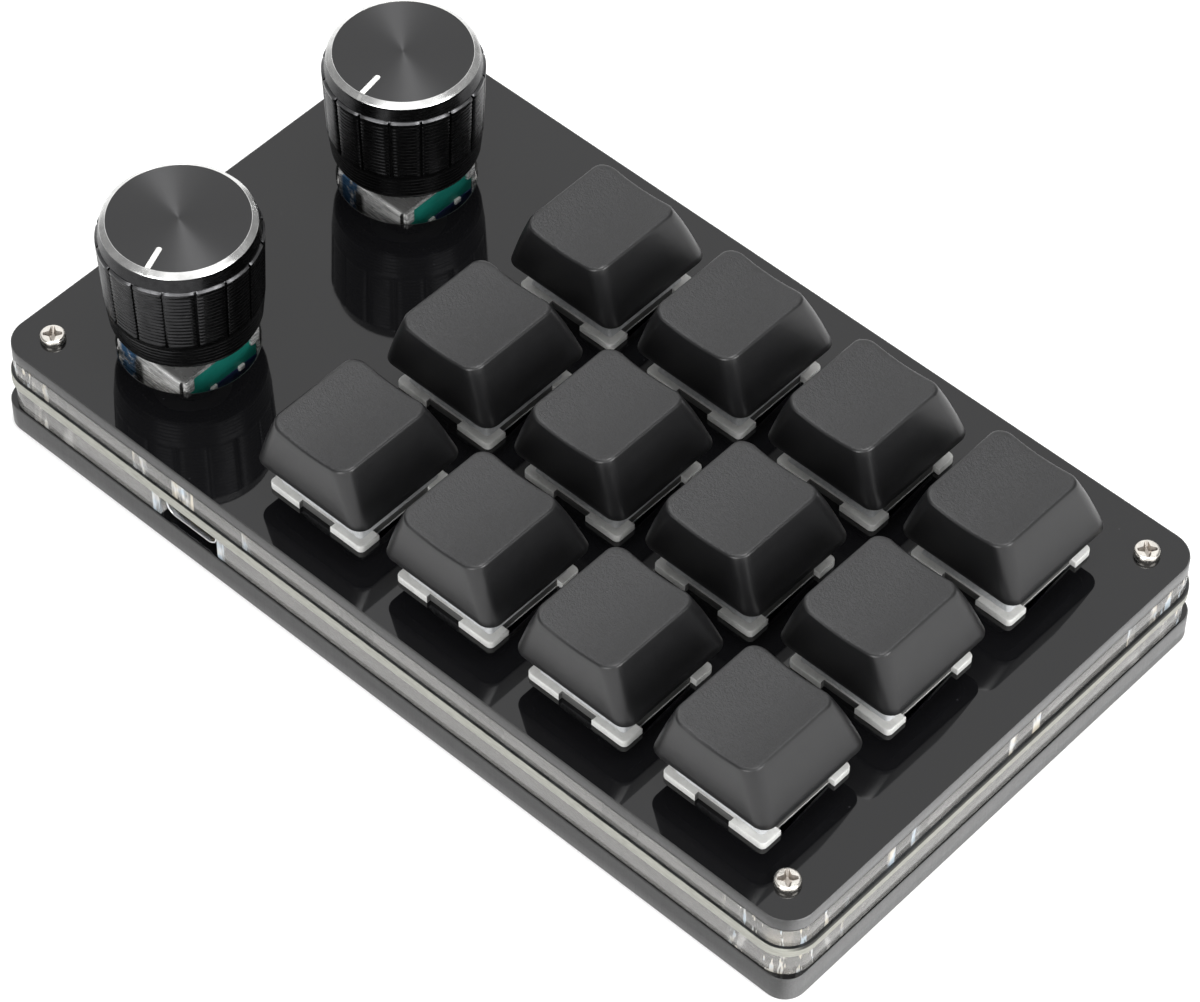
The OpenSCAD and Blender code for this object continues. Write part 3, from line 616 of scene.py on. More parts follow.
class KEYPAD_PG_keys(bpy.types.PropertyGroup):
    """Sizes and colours of the keys"""

    top_length: length_setting("Top length", "Length of a keycap's top along X", 12.5)
    top_width: length_setting("Top width", "Width of a keycap's top along Y", 14.8)
    set_back: length_setting("Set back", "Distance of the top's middle from the stem along Y", 1.3)
    dish: length_setting("Dish", "Depth of the hollow in a keycap's top", 0.8)
    rim: length_setting("Rim", "Radius of a keycap's upper rim", 0.4)
    wall: length_setting("Wall", "Thickness of a keycap's wall", 1.4)
    cap: colour_setting("Keycap", "Colour of the keycaps", (0.008, 0.008, 0.0085))
    housing: colour_setting("Lower housing", "Colour of the lower switch housings", (0.7, 0.7, 0.68))
    hood: colour_setting("Upper housing", "Colour of the upper switch housings", (0.5, 0.51, 0.52))
    stem: colour_setting("Stem", "Colour of the sliding stems", (0.03, 0.032, 0.035))


class KEYPAD_PG_knobs(bpy.types.PropertyGroup):
    """Sizes and colours of the knobs and encoders"""

    groove_pitch: length_setting("Groove pitch", "Distance between the turned grooves", 0.6)
    groove_depth: length_setting("Groove depth", "Depth of the turned grooves", 0.07)
    slot_width: length_setting("Slot width", "Width of a grip slot", 0.3)
    slot_depth: length_setting("Slot depth", "Depth of a grip slot", 0.4)
    pointer_width: length_setting("Pointer width", "Width of the pointer", 0.72)
    pointer_length: length_setting("Pointer length", "Length of the pointer on the face", 3.7)
    dark: colour_setting("Anodised side", "Colour of the knobs' sides", (0.03, 0.03, 0.031))
    face: colour_setting("Anodised face", "Colour of the knobs' spun faces", (0.06, 0.06, 0.061))
    bright: colour_setting("Bright cut", "Colour of the bright-cut bevel", (0.8, 0.8, 0.79))
    pointer: colour_setting("Pointer", "Colour of the painted pointer", (0.7, 0.7, 0.68))
    body: colour_setting("Encoder body", "Colour of the encoder's body", (0.01, 0.19, 0.15))


class KEYPAD_PG_stage(bpy.types.PropertyGroup):
    """Camera, floor and light"""

    focal_length: bpy.props.FloatProperty(
        name="Focal length", description="Focal length of the camera in millimetres", default=140.796
    )
    floor: colour_setting("Floor", "Colour of the floor", (0.86, 0.86, 0.86))
    sky: level_setting("Sky", "Brightness of the surroundings on matt surfaces", 0.62)
    band: level_setting("Band", "Brightness of the soft band that glossy surfaces mirror", 1.25)
    gloom: level_setting("Gloom", "Brightness that glossy surfaces mirror beside the band", 0.35)


# Plates and board

def plate_outline(node, radius):
    """Outline of a plate from its packed box."""
    size = high(node) - low(node)
    return soft_rectangle(size.x, size.y, radius, 12)


def screw_holes():
    """Outlines of the screw holes."""
    return [ring(1.1, 24, place) for place in screw_places()]


def black_piece(shape, settings, node, sheet):
    """Makes a black plate with polished faces and cut edges."""
    face = acrylic_black(sheet, settings)
    cut = acrylic_cut_edge(sheet + "_edge", settings, low(node).x)
    shape.piece(node + "_sheet", "case", "black_acrylic", [face, cut], node)


class KEYPAD_OT_bottom_plate(bpy.types.Operator):
    """Builds the black bottom plate with its nut pockets"""

    bl_idname = "keypad.bottom_plate"
    bl_label = "Bottom plate"

    def execute(self, context):
        settings = context.scene.keypad_plates
        edge = settings.edge / MM
        low_z, high_z = span("bottom_plate")
        play = 0.1
        pocket_top = high("corner_nuts").z + play
        pockets = [ring((NUT_HALF + play) * HEXAGON, 6, place) for place in screw_places()]
        outline, holes = plate_outline("bottom_plate", 3), screw_holes()
        shape = Shape()
        shape.stack(outline, soft_profile(low_z, high_z, edge), 1)
        shape.flat(inset(outline, edge), high_z, holes)
        shape.flat(inset(outline, edge), low_z, pockets)
        for pocket, hole in zip(pockets, holes):
            shape.rise(pocket, low_z, pocket_top, 1)
            shape.flat(pocket, pocket_top, [hole], 1)
            shape.rise(hole, pocket_top, high_z, 1)
        black_piece(shape, settings, "bottom_plate", "bottom_sheet")
        return {"FINISHED"}


class KEYPAD_OT_clear_plates(bpy.types.Operator):
    """Builds the clear frame under the board and the clear spacer over it"""

    bl_idname = "keypad.clear_plates"
    bl_label = "Clear plates"

    notch_half = 5

    def execute(self, context):
        settings = context.scene.keypad_plates
        edge, air = settings.edge / MM * 0.3, 0.01
        face = acrylic_clear("clear_sheet", settings.clear)
        openings = [soft_rectangle(16, 16, 0.3, 2, key_centre(key)) for key in KEYS]
        openings += [soft_rectangle(17, 17, 0.3, 2, knob_centre(knob)) for knob in KNOBS]
        # Painted glints on the frame's edge beside the socket's notch.
        glints_beside_notch = [(SOCKET_X + side * (self.notch_half + 0.6), high("lower_spacer").y) for side in SIDES]
        whole = plate_outline("upper_spacer", 4)
        for node, name, outline, holes, edge_name, windows in (
            ("upper_spacer", "upper_clear_spacer", whole, openings, "upper_edge", self.windows()),
            ("lower_spacer", "lower_clear_frame", self.frame_outline(), [], "lower_edge", glints_beside_notch),
        ):
            shape = Shape()
            shape.plate(outline, screw_holes() + holes, low(node).z + air, high(node).z - air, edge, 0, 1)
            cut = acrylic_clear_edge(edge_name, settings.clear_edge, windows)
            shape.piece(name, "case", "clear_acrylic", [face, cut], node)
        return {"FINISHED"}

    def windows(self):
        """Places on the outer edge where painted glints stand in for the light that the openings inside throw
        out.
        """
        half = (high("upper_spacer") - low("upper_spacer")) / 2
        windows = [(SOCKET_X + along, half.y) for along in (8.6, 7.5, 1.8, 0.6, -0.6, -10.4)]
        for key in ("a1", "b1", "c1"):
            y = key_centre(key)[1]
            windows += [(side * half.x, y + along) for side in SIDES for along in (-7.8, -3.5)]
        return windows

    def frame_outline(self):
        """One outline that runs round the frame, in at the socket's notch and back round its inside."""
        size = high("lower_spacer") - low("lower_spacer")
        half_x, half_y = size.x / 2, size.y / 2
        wall, pad = 7, 5.5
        left, right = SOCKET_X - self.notch_half, SOCKET_X + self.notch_half
        inner_x, inner_y = half_x - wall, half_y - wall
        outer = soft_rectangle(size.x, size.y, 4, 12)
        start = next(i for i, p in enumerate(outer) if p[0] < left and p[1] > half_y - 0.01)
        path = [(left, half_y)] + outer[start:] + outer[:start] + [(right, half_y), (right, inner_y)]
        sx, sy = screw_places()[0]
        reach_x = math.sqrt(pad ** 2 - (inner_y - sy) ** 2)
        reach_y = math.sqrt(pad ** 2 - (inner_x - sx) ** 2)
        a = math.degrees(math.atan2(inner_y - sy, -reach_x)) % 360
        b = math.degrees(math.atan2(-reach_y, inner_x - sx)) % 360
        for mx, my in ((1, 1), (1, -1), (-1, -1), (-1, 1)):
            corner = [(x * mx, y * my) for x, y in arc((sx, sy), pad, a, b, 10)]
            path += corner if mx * my > 0 else corner[::-1]
        return path + [(left, inner_y)]


class KEYPAD_OT_board(bpy.types.Operator):
    """Builds the circuit board with its holes and plated rings"""

    bl_idname = "keypad.board"
    bl_label = "Circuit board"

    def execute(self, context):
        settings = context.scene.keypad_plates
        low_z, high_z = span("pcb")
        holes, rings = screw_holes(), []
        for key in KEYS:
            x, y = key_centre(key)
            holes.append(ring(2.0, 24, (x, y)))
            rings += [((x + px, y + py), 0.7, 1.15) for px, py in SWITCH_PINS]
        for knob in KNOBS:
            x, y = knob_centre(knob)
            rings += [((x + px, y + py), 0.65, 1.05) for px, py in ENCODER_PINS]
            for side in SIDES:
                slot_y = y + side * (ENCODER_HALF_Y + BRACKET_HALF_Y) / 2
                holes.append(soft_rectangle(2.3, 0.8, 0.1, 1, (x, slot_y)))
        holes += [ring(inner, 16, centre) for centre, inner, _ in rings]
        skin = 0.02
        shape = Shape()
        shape.plate(plate_outline("pcb", 4.4), holes, low_z + skin, high_z - skin, 0.08, 0, 1)
        for centre, inner, outer in rings:
            for z in (low_z, high_z - skin):
                shape.plate(ring(outer, 20, centre), [ring(inner, 16, centre)], z, z + skin, 0.005, 2, 2)
        pads = metal("board_pads", (0.78, 0.66, 0.42), 0.25, 0.4)
        finishes = [self.mask(settings.board), self.edge(settings.board_edge, low_z, high_z), pads]
        shape.piece("circuit_board", "case", "circuit_board", finishes, "pcb")
        return {"FINISHED"}

    def mask(self, colour):
        """Dark mask with faint tracks under it."""
        mask = Finish("board_mask", colour, IOR=1.5)
        tracks = mask.noise(0.55, 2, 0.3, mask.stretched((1, 0.15, 1)))
        mask.tones_from(tracks, colour, 0.8, 1.7, 0.48, 0.54)
        mask.roughness_from(mask.noise(3, 3), 0.25, 0.38)
        mask.relief(tracks, 0.02, 0.4)
        return mask

    def edge(self, colour, low_z, high_z):
        """Sawn glass-fibre edge, pale, with a dark band along its top at the left end."""
        edge = Finish("board_edge", colour, Roughness=0.7)
        fibres = edge.noise(1, 3, 0.6, edge.stretched((0.7, 0.7, 7)))
        layer = edge.between(edge.height(low_z, high_z), 0, 1, 0.66, 0.74)
        # The top of the edge is painted dark at the left end.
        dark_top_at_end = edge.combined(edge.at_end(low("pcb").x), layer)
        pale = edge.tones(fibres, colour, 0.75, 1.15)
        edge.link(edge.mixed(dark_top_at_end, pale, tint(colour, 0.06)), "Base Color")
        edge.relief(edge.noise(1, 4, 0.7, edge.stretched((8, 8, 3))), 0.03, 0.8)
        return edge


class KEYPAD_OT_top_plate(bpy.types.Operator):
    """Builds the glossy black top plate with its cut-outs"""

    bl_idname = "keypad.top_plate"
    bl_label = "Top plate"

    def execute(self, context):
        settings = context.scene.keypad_plates
        holes = screw_holes()
        holes += [soft_rectangle(14, 14, 0.2, 2, key_centre(key)) for key in KEYS]
        holes += [ring(9, 72, knob_centre(knob)) for knob in KNOBS]
        outline, edge = plate_outline("top_plate", 4), settings.edge / MM
        shape = Shape()
        shape.plate(outline, holes, low("top_plate").z, TOP, edge, 0, 1)
        black_piece(shape, settings, "top_plate", "top_sheet")
        return {"FINISHED"}


class KEYPAD_OT_fasteners(bpy.types.Operator):
    """Builds the corner screws and their nuts"""

    bl_idname = "keypad.fasteners"
    bl_label = "Screws and nuts"

    def execute(self, context):
        steel = metal("screw_steel", (0.72, 0.69, 0.64), 0.16, 0.34, (3, 3, 3), 0.006)
        # Painted shade: darker steel for the cross recess, standing in for the shade inside it.
        recess = metal("screw_recess_painted_shade", (0.34, 0.31, 0.28), 0.3, 0.5, (4, 4, 4), 0.02)
        build_on_case(
            screw_places(),
            ("corner_screws_steel", "plated_steel", self.add_screw, [steel, recess], "corner_screws"),
            ("corner_nuts_steel", "plated_steel", self.add_nut, [steel], "corner_nuts"),
        )
        return {"FINISHED"}

    def add_screw(self, shape):
        """Pan head with a cross recess in darker steel, as painted shade, over a threaded shank."""
        top = TOP + HEAD_HEIGHT
        recess_floor = top - 0.7
        turns = [math.radians(15 * k) for k in range(1, 7)]
        dome = [(0.96, 0), (1, 0.12), (1, 0.5)]
        dome += [(0.8 + 0.2 * math.cos(a), 0.5 + 0.5 * math.sin(a)) for a in turns]
        rings = [lifted(ring(HEAD_RADIUS * r, 48), TOP + HEAD_HEIGHT * z) for r, z in dome]
        shape.wall(rings)
        mouth = cross(HEAD_RADIUS * 0.74, 0.2, 0.44, 0.06, 45)
        floor = cross(HEAD_RADIUS * 0.4, 0.12, 0.22, 0.04, 45)
        shape.lid(rings[-1], [lifted(mouth, top)])
        # Finish 1 is the recess's painted shade.
        shape.wall([lifted(mouth, top), lifted(floor, recess_floor)], 1)
        shape.flat(floor, recess_floor, (), 1)
        thread = self.thread(low("corner_screws").z, TOP, 0.4)
        shape.wall(thread)
        shape.lid(thread[0])
        shape.lid(rings[0], [thread[-1]])

    def thread(self, bottom, top, pitch):
        """Rings of a screw thread that fades out at its tip."""
        core, ridge, steps, turn_rows, fade_rows = 0.78, 0.2, 20, 5, 4
        rows = int((top - bottom) / pitch * turn_rows)
        thread = []
        for r in range(rows + 1):
            z = bottom + (top - bottom) * r / rows
            points = []
            for i in range(steps):
                depth = ridge * abs(2 * ((z / pitch - i / steps) % 1) - 1)
                reach = core + (ridge - depth) * min(1, r / fade_rows)
                a = 2 * math.pi * i / steps
                points.append(Vector((reach * math.cos(a), reach * math.sin(a), z)))
            thread.append(points)
        return thread

    def add_nut(self, shape):
        """Hexagon nut with its corners turned off."""
        bottom, top = span("corner_nuts")
        corners = [Vector(p) for p in ring(NUT_HALF * HEXAGON, 6)]
        sides = [corners[k].lerp(corners[(k + 1) % 6], j / 6) for k in range(6) for j in range(6)]
        turned = 0.95 * NUT_HALF
        face = [p.normalized() * turned for p in sides]
        drop = [(p.length - turned) * 0.55 for p in sides]
        hole = [p.normalized() * 1.04 for p in sides]
        sink, sink_depth = [p * 1.1 for p in hole], 0.12
        shape.wall([
            lifted(face, bottom),
            [Vector((*p, bottom + d)) for p, d in zip(sides, drop)],
            [Vector((*p, top - d)) for p, d in zip(sides, drop)],
            lifted(face, top),
        ], smooth=False)
        shape.wall([
            lifted(sink, bottom), lifted(hole, bottom + sink_depth), lifted(hole, top - sink_depth),
            lifted(sink, top),
        ])
        for z in (bottom, top):
            shape.flat(face, z, [sink])


# Keys

class KEYPAD_OT_keycaps(bpy.types.Operator):
    """Builds the sculpted keycaps"""

    bl_idname = "keypad.keycaps"
    bl_label = "Keycaps"

    def execute(self, context):
        settings = context.scene.keypad_keys
        finishes = [
            moulded("keycap_side", settings.cap, 0.3, 0.4, 6, 0.008, IOR=1.5),
            self.top_finish(settings.cap),
            moulded("keycap_inside", tint(settings.cap, 0.8), 0.35, 0.5, 3, 0.01),
        ]
        for key in KEYS:
            shape = Shape()
            self.add_cap(shape, key, settings)
            shape.piece("keycap_shell_" + key, "key_" + key, "keycap_plastic", finishes, "keycap_" + key)
        return {"FINISHED"}

    def top_finish(self, colour):
        """Spark-eroded grain of the touched surface, with bright grains scattered over it."""
        top = Finish("keycap_top", colour, IOR=1.5)
        grain = top.noise(3.2, 4, 0.7)
        top.roughness_from(grain, 0.36, 0.58)
        top.tones_from(grain, colour, 0.5, 2.4, 0.36, 0.64)
        top.relief(grain, 0.08, 1)
        return top

    def outline(self, half_x, half_y, radius, cy=0):
        """Outline with a fixed number of points, so that rings of any size join."""
        half_x, half_y = max(half_x, 0.02), max(half_y, 0.02)
        radius = max(min(radius, half_x * 0.9, half_y * 0.9), 0.01)
        corner_steps, side_steps = 8, 12
        rounded = soft_rectangle(half_x * 2, half_y * 2, radius, corner_steps, (0, cy))
        points = []
        for i, here in enumerate(rounded):
            points.append(here)
            if i % (corner_steps + 1) == corner_steps:
                there = Vector(rounded[(i + 1) % len(rounded)])
                points += [tuple(Vector(here).lerp(there, j / side_steps)) for j in range(1, side_steps)]
        return points

    def add_cap(self, shape, key, settings):
        """Outer sides, rounded rim, scooped top, hollow and cross socket."""
        bottom, top = span("keycap_" + key)
        height = top - bottom
        base = (high("keycap_" + key).x - low("keycap_" + key).x) / 2
        top_x, top_y = settings.top_length / MM / 2, settings.top_width / MM / 2
        back = settings.set_back / MM
        rim, wall, depth = settings.rim / MM, settings.wall / MM, settings.dish / MM
        sweep = (top_x ** 2 + depth ** 2) / (2 * depth)

        def dish(x):
            x = max(-top_x, min(top_x, x))
            return top - depth + sweep - math.sqrt(sweep ** 2 - x ** 2)

        def section(z, shrink=0.0):
            t = (z - bottom) / height
            swell = 0.1 * math.sin(math.pi * min(max(t, 0), 1))
            half_x, half_y = (base + (side - base) * t + swell - shrink for side in (top_x, top_y))
            return self.outline(half_x, half_y, 1.9 + 0.1 * t - shrink * 0.4, back * t)

        foot, side_rows, rim_rows, top_rows = 0.18, 9, 5, 15
        rings = [lifted(section(z, i), z) for i, z in soft_profile(bottom, top, foot)[:3]]
        for k in range(1, side_rows + 1):
            share = k / side_rows
            plain = section(bottom + foot + (height - foot - rim) * share)
            rings.append([
                Vector((x, y, bottom + foot + (dish(x) - rim - bottom - foot) * share)) for x, y in plain
            ])
        shape.wall(rings, 0)
        brim = [rings[-1]]
        for k in range(1, rim_rows + 1):
            a = math.radians(90 / rim_rows * k)
            drop = rim * (1 - math.sin(a))
            plain = section(top - drop, rim * (1 - math.cos(a)))
            brim.append([Vector((x, y, dish(x) - drop)) for x, y in plain])
        shape.wall(brim[:4], 0)
        field = brim[3:]
        for k in range(1, top_rows):
            t = 1 - k / top_rows
            plain = self.outline((top_x - rim) * t, (top_y - rim) * t, 1.8 * t, back)
            field.append([Vector((x, y, dish(x))) for x, y in plain])
        shape.wall(field, 1)
        shape.fan(field[-1], (0, back, dish(0)), 1)
        ceiling = top - depth - wall
        hollow = []
        for z in (bottom, bottom + foot, bottom + 2, bottom + 4, ceiling - 0.5, ceiling):
            shrink = wall + (0.12 if z == ceiling else 0) - (0.1 if z == bottom else 0)
            hollow.append(lifted(section(z, shrink), z))
        shape.wall(hollow, 2)
        shape.lid(rings[0], [hollow[0]], 0)
        shape.lid(hollow[-1], [], 2)
        post_low = high("stem_" + key).z - CROSS_HEIGHT + 0.02
        socket = cross(2.02, 0.62, 0.62, 0.06)
        shape.plate(ring(2.5, 40), [socket], post_low, ceiling + 0.4, 0.1, 2, 2)
        shape.shift(0, key_centre(key))


class KEYPAD_OT_switches(bpy.types.Operator):
    """Builds the switch housings, stems, springs and contacts"""

    bl_idname = "keypad.switches"
    bl_label = "Switches"

    def execute(self, context):
        settings = context.scene.keypad_keys
        milky = moulded("housing_milky", settings.housing, 0.25, 0.4, 2, 0.01, IOR=1.46)
        milky.set("Subsurface Weight", 0.25)
        milky.set("Subsurface Radius", (0.9, 0.9, 0.85))
        milky.set("Subsurface Scale", MM)
        # Painted shade: a near-black housing colour for the notch walls, in place of the keycap's shade.
        notch_painted_shade = moulded("housing_notch_painted_shade", tint(settings.housing, 0.12), 0.4, 0.6, 2, 0.01)
        pale = moulded("housing_pale", settings.hood, 0.22, 0.36, 2, 0.01, IOR=1.5)
        slick = moulded("stem_slick", settings.stem, 0.3, 0.45, 4, 0.006)
        wire = metal("spring_steel", (0.62, 0.63, 0.65), 0.2, 0.35, (1, 1, 12))
        brass = metal("contact_leaf", (0.74, 0.58, 0.33), 0.22, 0.4, (2, 2, 9))
        solder = metal("contact_solder", (0.66, 0.66, 0.65), 0.15, 0.3)
        for key in KEYS:
            self.stem(key, slick)
            self.spring(key, wire)
        build_on_case(
            [key_centre(key) for key in KEYS],
            ("switch_lower_housings", "white_housing", self.add_lower, [milky, notch_painted_shade], "switch_bottoms"),
            ("switch_upper_housings", "grey_housing", self.add_upper, [pale], "switch_tops"),
            ("switch_contact_leaves", "contact_brass", self.add_contacts, [brass, solder], "switch_contacts"),
        )
        return {"FINISHED"}

    def add_lower(self, shape):
        """Flange with its notches, box below the plate, floor, collar and post. The notch walls are painted
        dark: painted shade under the keycap.
        """
        bottom, tip, rim, floor = BOARD_TOP, BOARD_TOP - 3.3, SWITCH_RIM, SWITCH_FLOOR
        half, deep, notch = 7.8, 6.85, 4.7
        quarter = [(deep, notch), (half, notch)] + arc((half - 0.7, half - 0.7), 0.7, 0, 90, 5)
        quarter += [(2.6, half), (2.6, half - 0.6)]
        outline = []
        for mx, my, order in ((1, 1, 1), (-1, 1, -1), (-1, -1, 1), (1, -1, -1)):
            outline += [(x * mx, y * my) for x, y in quarter[::order]]
        cavity = soft_rectangle(11.94, 11.94, 0.4, 2)
        body = soft_rectangle(13.94, 13.94, 0.35, 3)
        post, collar, well = ring(1.95, 32), ring(1.55, 32), ring(1.25, 32)
        slots = [soft_rectangle(1.0, 0.35, 0.02, 1, p) for p in SWITCH_PINS]
        edge, collar_top = 0.12, floor + 0.9
        shape.flat(inset(outline, edge), rim, [cavity])
        walls = len(shape.faces)
        shape.stack(outline, [(edge, rim), (edge * 0.3, rim - edge * 0.3), (0, rim - edge), (0, TOP)])
        # Walls inside the notches get the painted shade.
        for number in range(walls, len(shape.faces)):
            if all(abs(shape.points[i].x) < deep + 0.01 for i in shape.faces[number]):
                shape.finishes[number] = 1
        shape.flat(outline, TOP, [body])
        shape.stack(body, [(0, TOP), (0, bottom + 0.2), (0.2, bottom)])
        shape.flat(inset(body, 0.2), bottom, [post] + slots)
        shape.peg(post, [(0, bottom), (0, tip + 0.3), (0.3, tip)])
        for slot in slots:
            shape.rise(slot, bottom, floor)
        shape.rise(cavity, rim, floor)
        shape.flat(cavity, floor, [collar] + slots)
        shape.rise(collar, floor, collar_top)
        shape.flat(collar, collar_top, [well])
        shape.peg(well, [(0, collar_top), (0, tip + 0.5)])

    def add_upper(self, shape):
        """Tapered hood with the stem's opening."""
        foot, crown, foot_side, crown_side = SWITCH_RIM, TOP + 6.6, 13.6, 9.6
        soft, lip = 0.25, 0.18

        def section(z, shrink=0):
            side = foot_side + (crown_side - foot_side) * (z - foot) / (crown - foot)
            return lifted(soft_rectangle(side - shrink, side - shrink, 0.5, 3), z)

        outer = [section(foot + 1.4 * k) for k in range(4)] + [section(crown - soft)]
        outer += [section(crown - soft * 0.3, soft * 0.6), section(crown, soft * 2)]
        shape.wall(outer)
        opening, cavity = soft_rectangle(7.3, 5.7, 0.2, 3), soft_rectangle(9.2, 7.2, 0.3, 3)
        ceiling = crown - 1.2
        shape.lid(outer[-1], [lifted(inset(opening, -lip), crown)])
        shape.stack(opening, [(-lip, crown), (0, crown - lip), (0, ceiling)])
        shape.flat(cavity, ceiling, [opening])
        shape.rise(cavity, ceiling, foot)
        shape.lid(outer[0], [lifted(cavity, foot)])

    def add_contacts(self, shape):
        """Two leaves, one of them bent, each with a pin soldered under the board."""
        floor, (tip, top) = SWITCH_FLOOR, span("switch_contacts")
        half_t, half_w = 0.125, 0.45
        for (x, y), jog in zip(SWITCH_PINS, (1, 0)):
            profile = [(y - half_t, tip), (y + half_t, tip)]
            if jog:
                profile += [(y + half_t, floor), (y + jog + half_t, floor)]
            profile += [(y + jog + half_t, top), (y + jog - half_t, top)]
            if jog:
                profile += [(y + jog - half_t, floor + 0.3), (y - half_t, floor + 0.3)]
            shape.strip(soft_corners(profile, 0.08, 2), x - half_w, x + half_w)
            add_solder(shape, (x, y), 1.0, 0.5, 1)

    def stem(self, key, finish):
        """Sliding stem with softened edges."""
        shape = Shape()
        top, foot = high("stem_" + key).z, TOP + 1.8
        neck, shoulder, seat = top - CROSS_HEIGHT, foot + 3.5, foot + 3.4
        tip = seat - 6.8
        well, pin, plus = ring(2.15, 28), ring(1.1, 28), cross(2.0, 0.6, 0.6, 0.08)
        wide, narrow = (soft_rectangle(length, 5.2, 0.25, 3) for length in (8.2, 6.8))
        shape.flat(inset(wide, 0.1), foot, [well])
        shape.stack(wide, [(0.1, foot), (0, foot + 0.1), (0, shoulder)])
        shape.flat(wide, shoulder, [inset(narrow, 0.01)])
        shape.stack(narrow, [(0.01, shoulder), (0.01, neck - 0.12), (0.12, neck)])
        shape.flat(inset(narrow, 0.12), neck, [plus])
        shape.peg(plus, [(0, neck), (0, top - 0.15), (0.12, top)])
        shape.rise(well, foot, seat)
        shape.flat(well, seat, [pin])
        shape.peg(pin, [(0, seat), (0, tip + 0.3), (0.3, tip)])
        shape.shift(0, key_centre(key))
        shape.piece("stem_slider_" + key, "key_" + key, "stem_plastic", [finish], "stem_" + key)

    def spring(self, key, finish):
        """Round-wire coil with closed ends."""
        shape = Shape()
        bottom, top = span("spring_" + key)
        wire, radius, turns, sides, turn_steps = 0.147, 1.85, 8.5, 8, 20
        end_share, rise_share = 0.09, 0.82
        total = int(turns * turn_steps)
        rings = []
        for i in range(total + 1):
            t = i / total
            ease = min(max((t - end_share) / rise_share, 0), 1)
            z = bottom + wire + (top - bottom - 2 * wire) * ease
            a = 2 * math.pi * turns * t
            section = ring(wire, sides, (radius, 0))
            rings.append([Vector((r * math.cos(a), r * math.sin(a), z + dz)) for r, dz in section])
        shape.rod(rings)
        x, y = key_centre(key)
        shape.shift(0, (x, y))
        piece = shape.piece("spring_coil_" + key, "case", "spring_wire", [finish], "spring_" + key)
        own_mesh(piece)


def add_solder(shape, place, pad_radius, pin_radius, finish):
    """Cone of solder under the board, round a pin."""
    board = low("pcb").z
    steps = [(pad_radius, 0), (pad_radius * 0.8, 0.12), (pin_radius * 1.25, 0.4), (pin_radius, 0.75)]
    shape.put(lambda cone: cone.rod([lifted(ring(r, 14), board - z) for r, z in steps], finish), place)


# Knobs and encoders

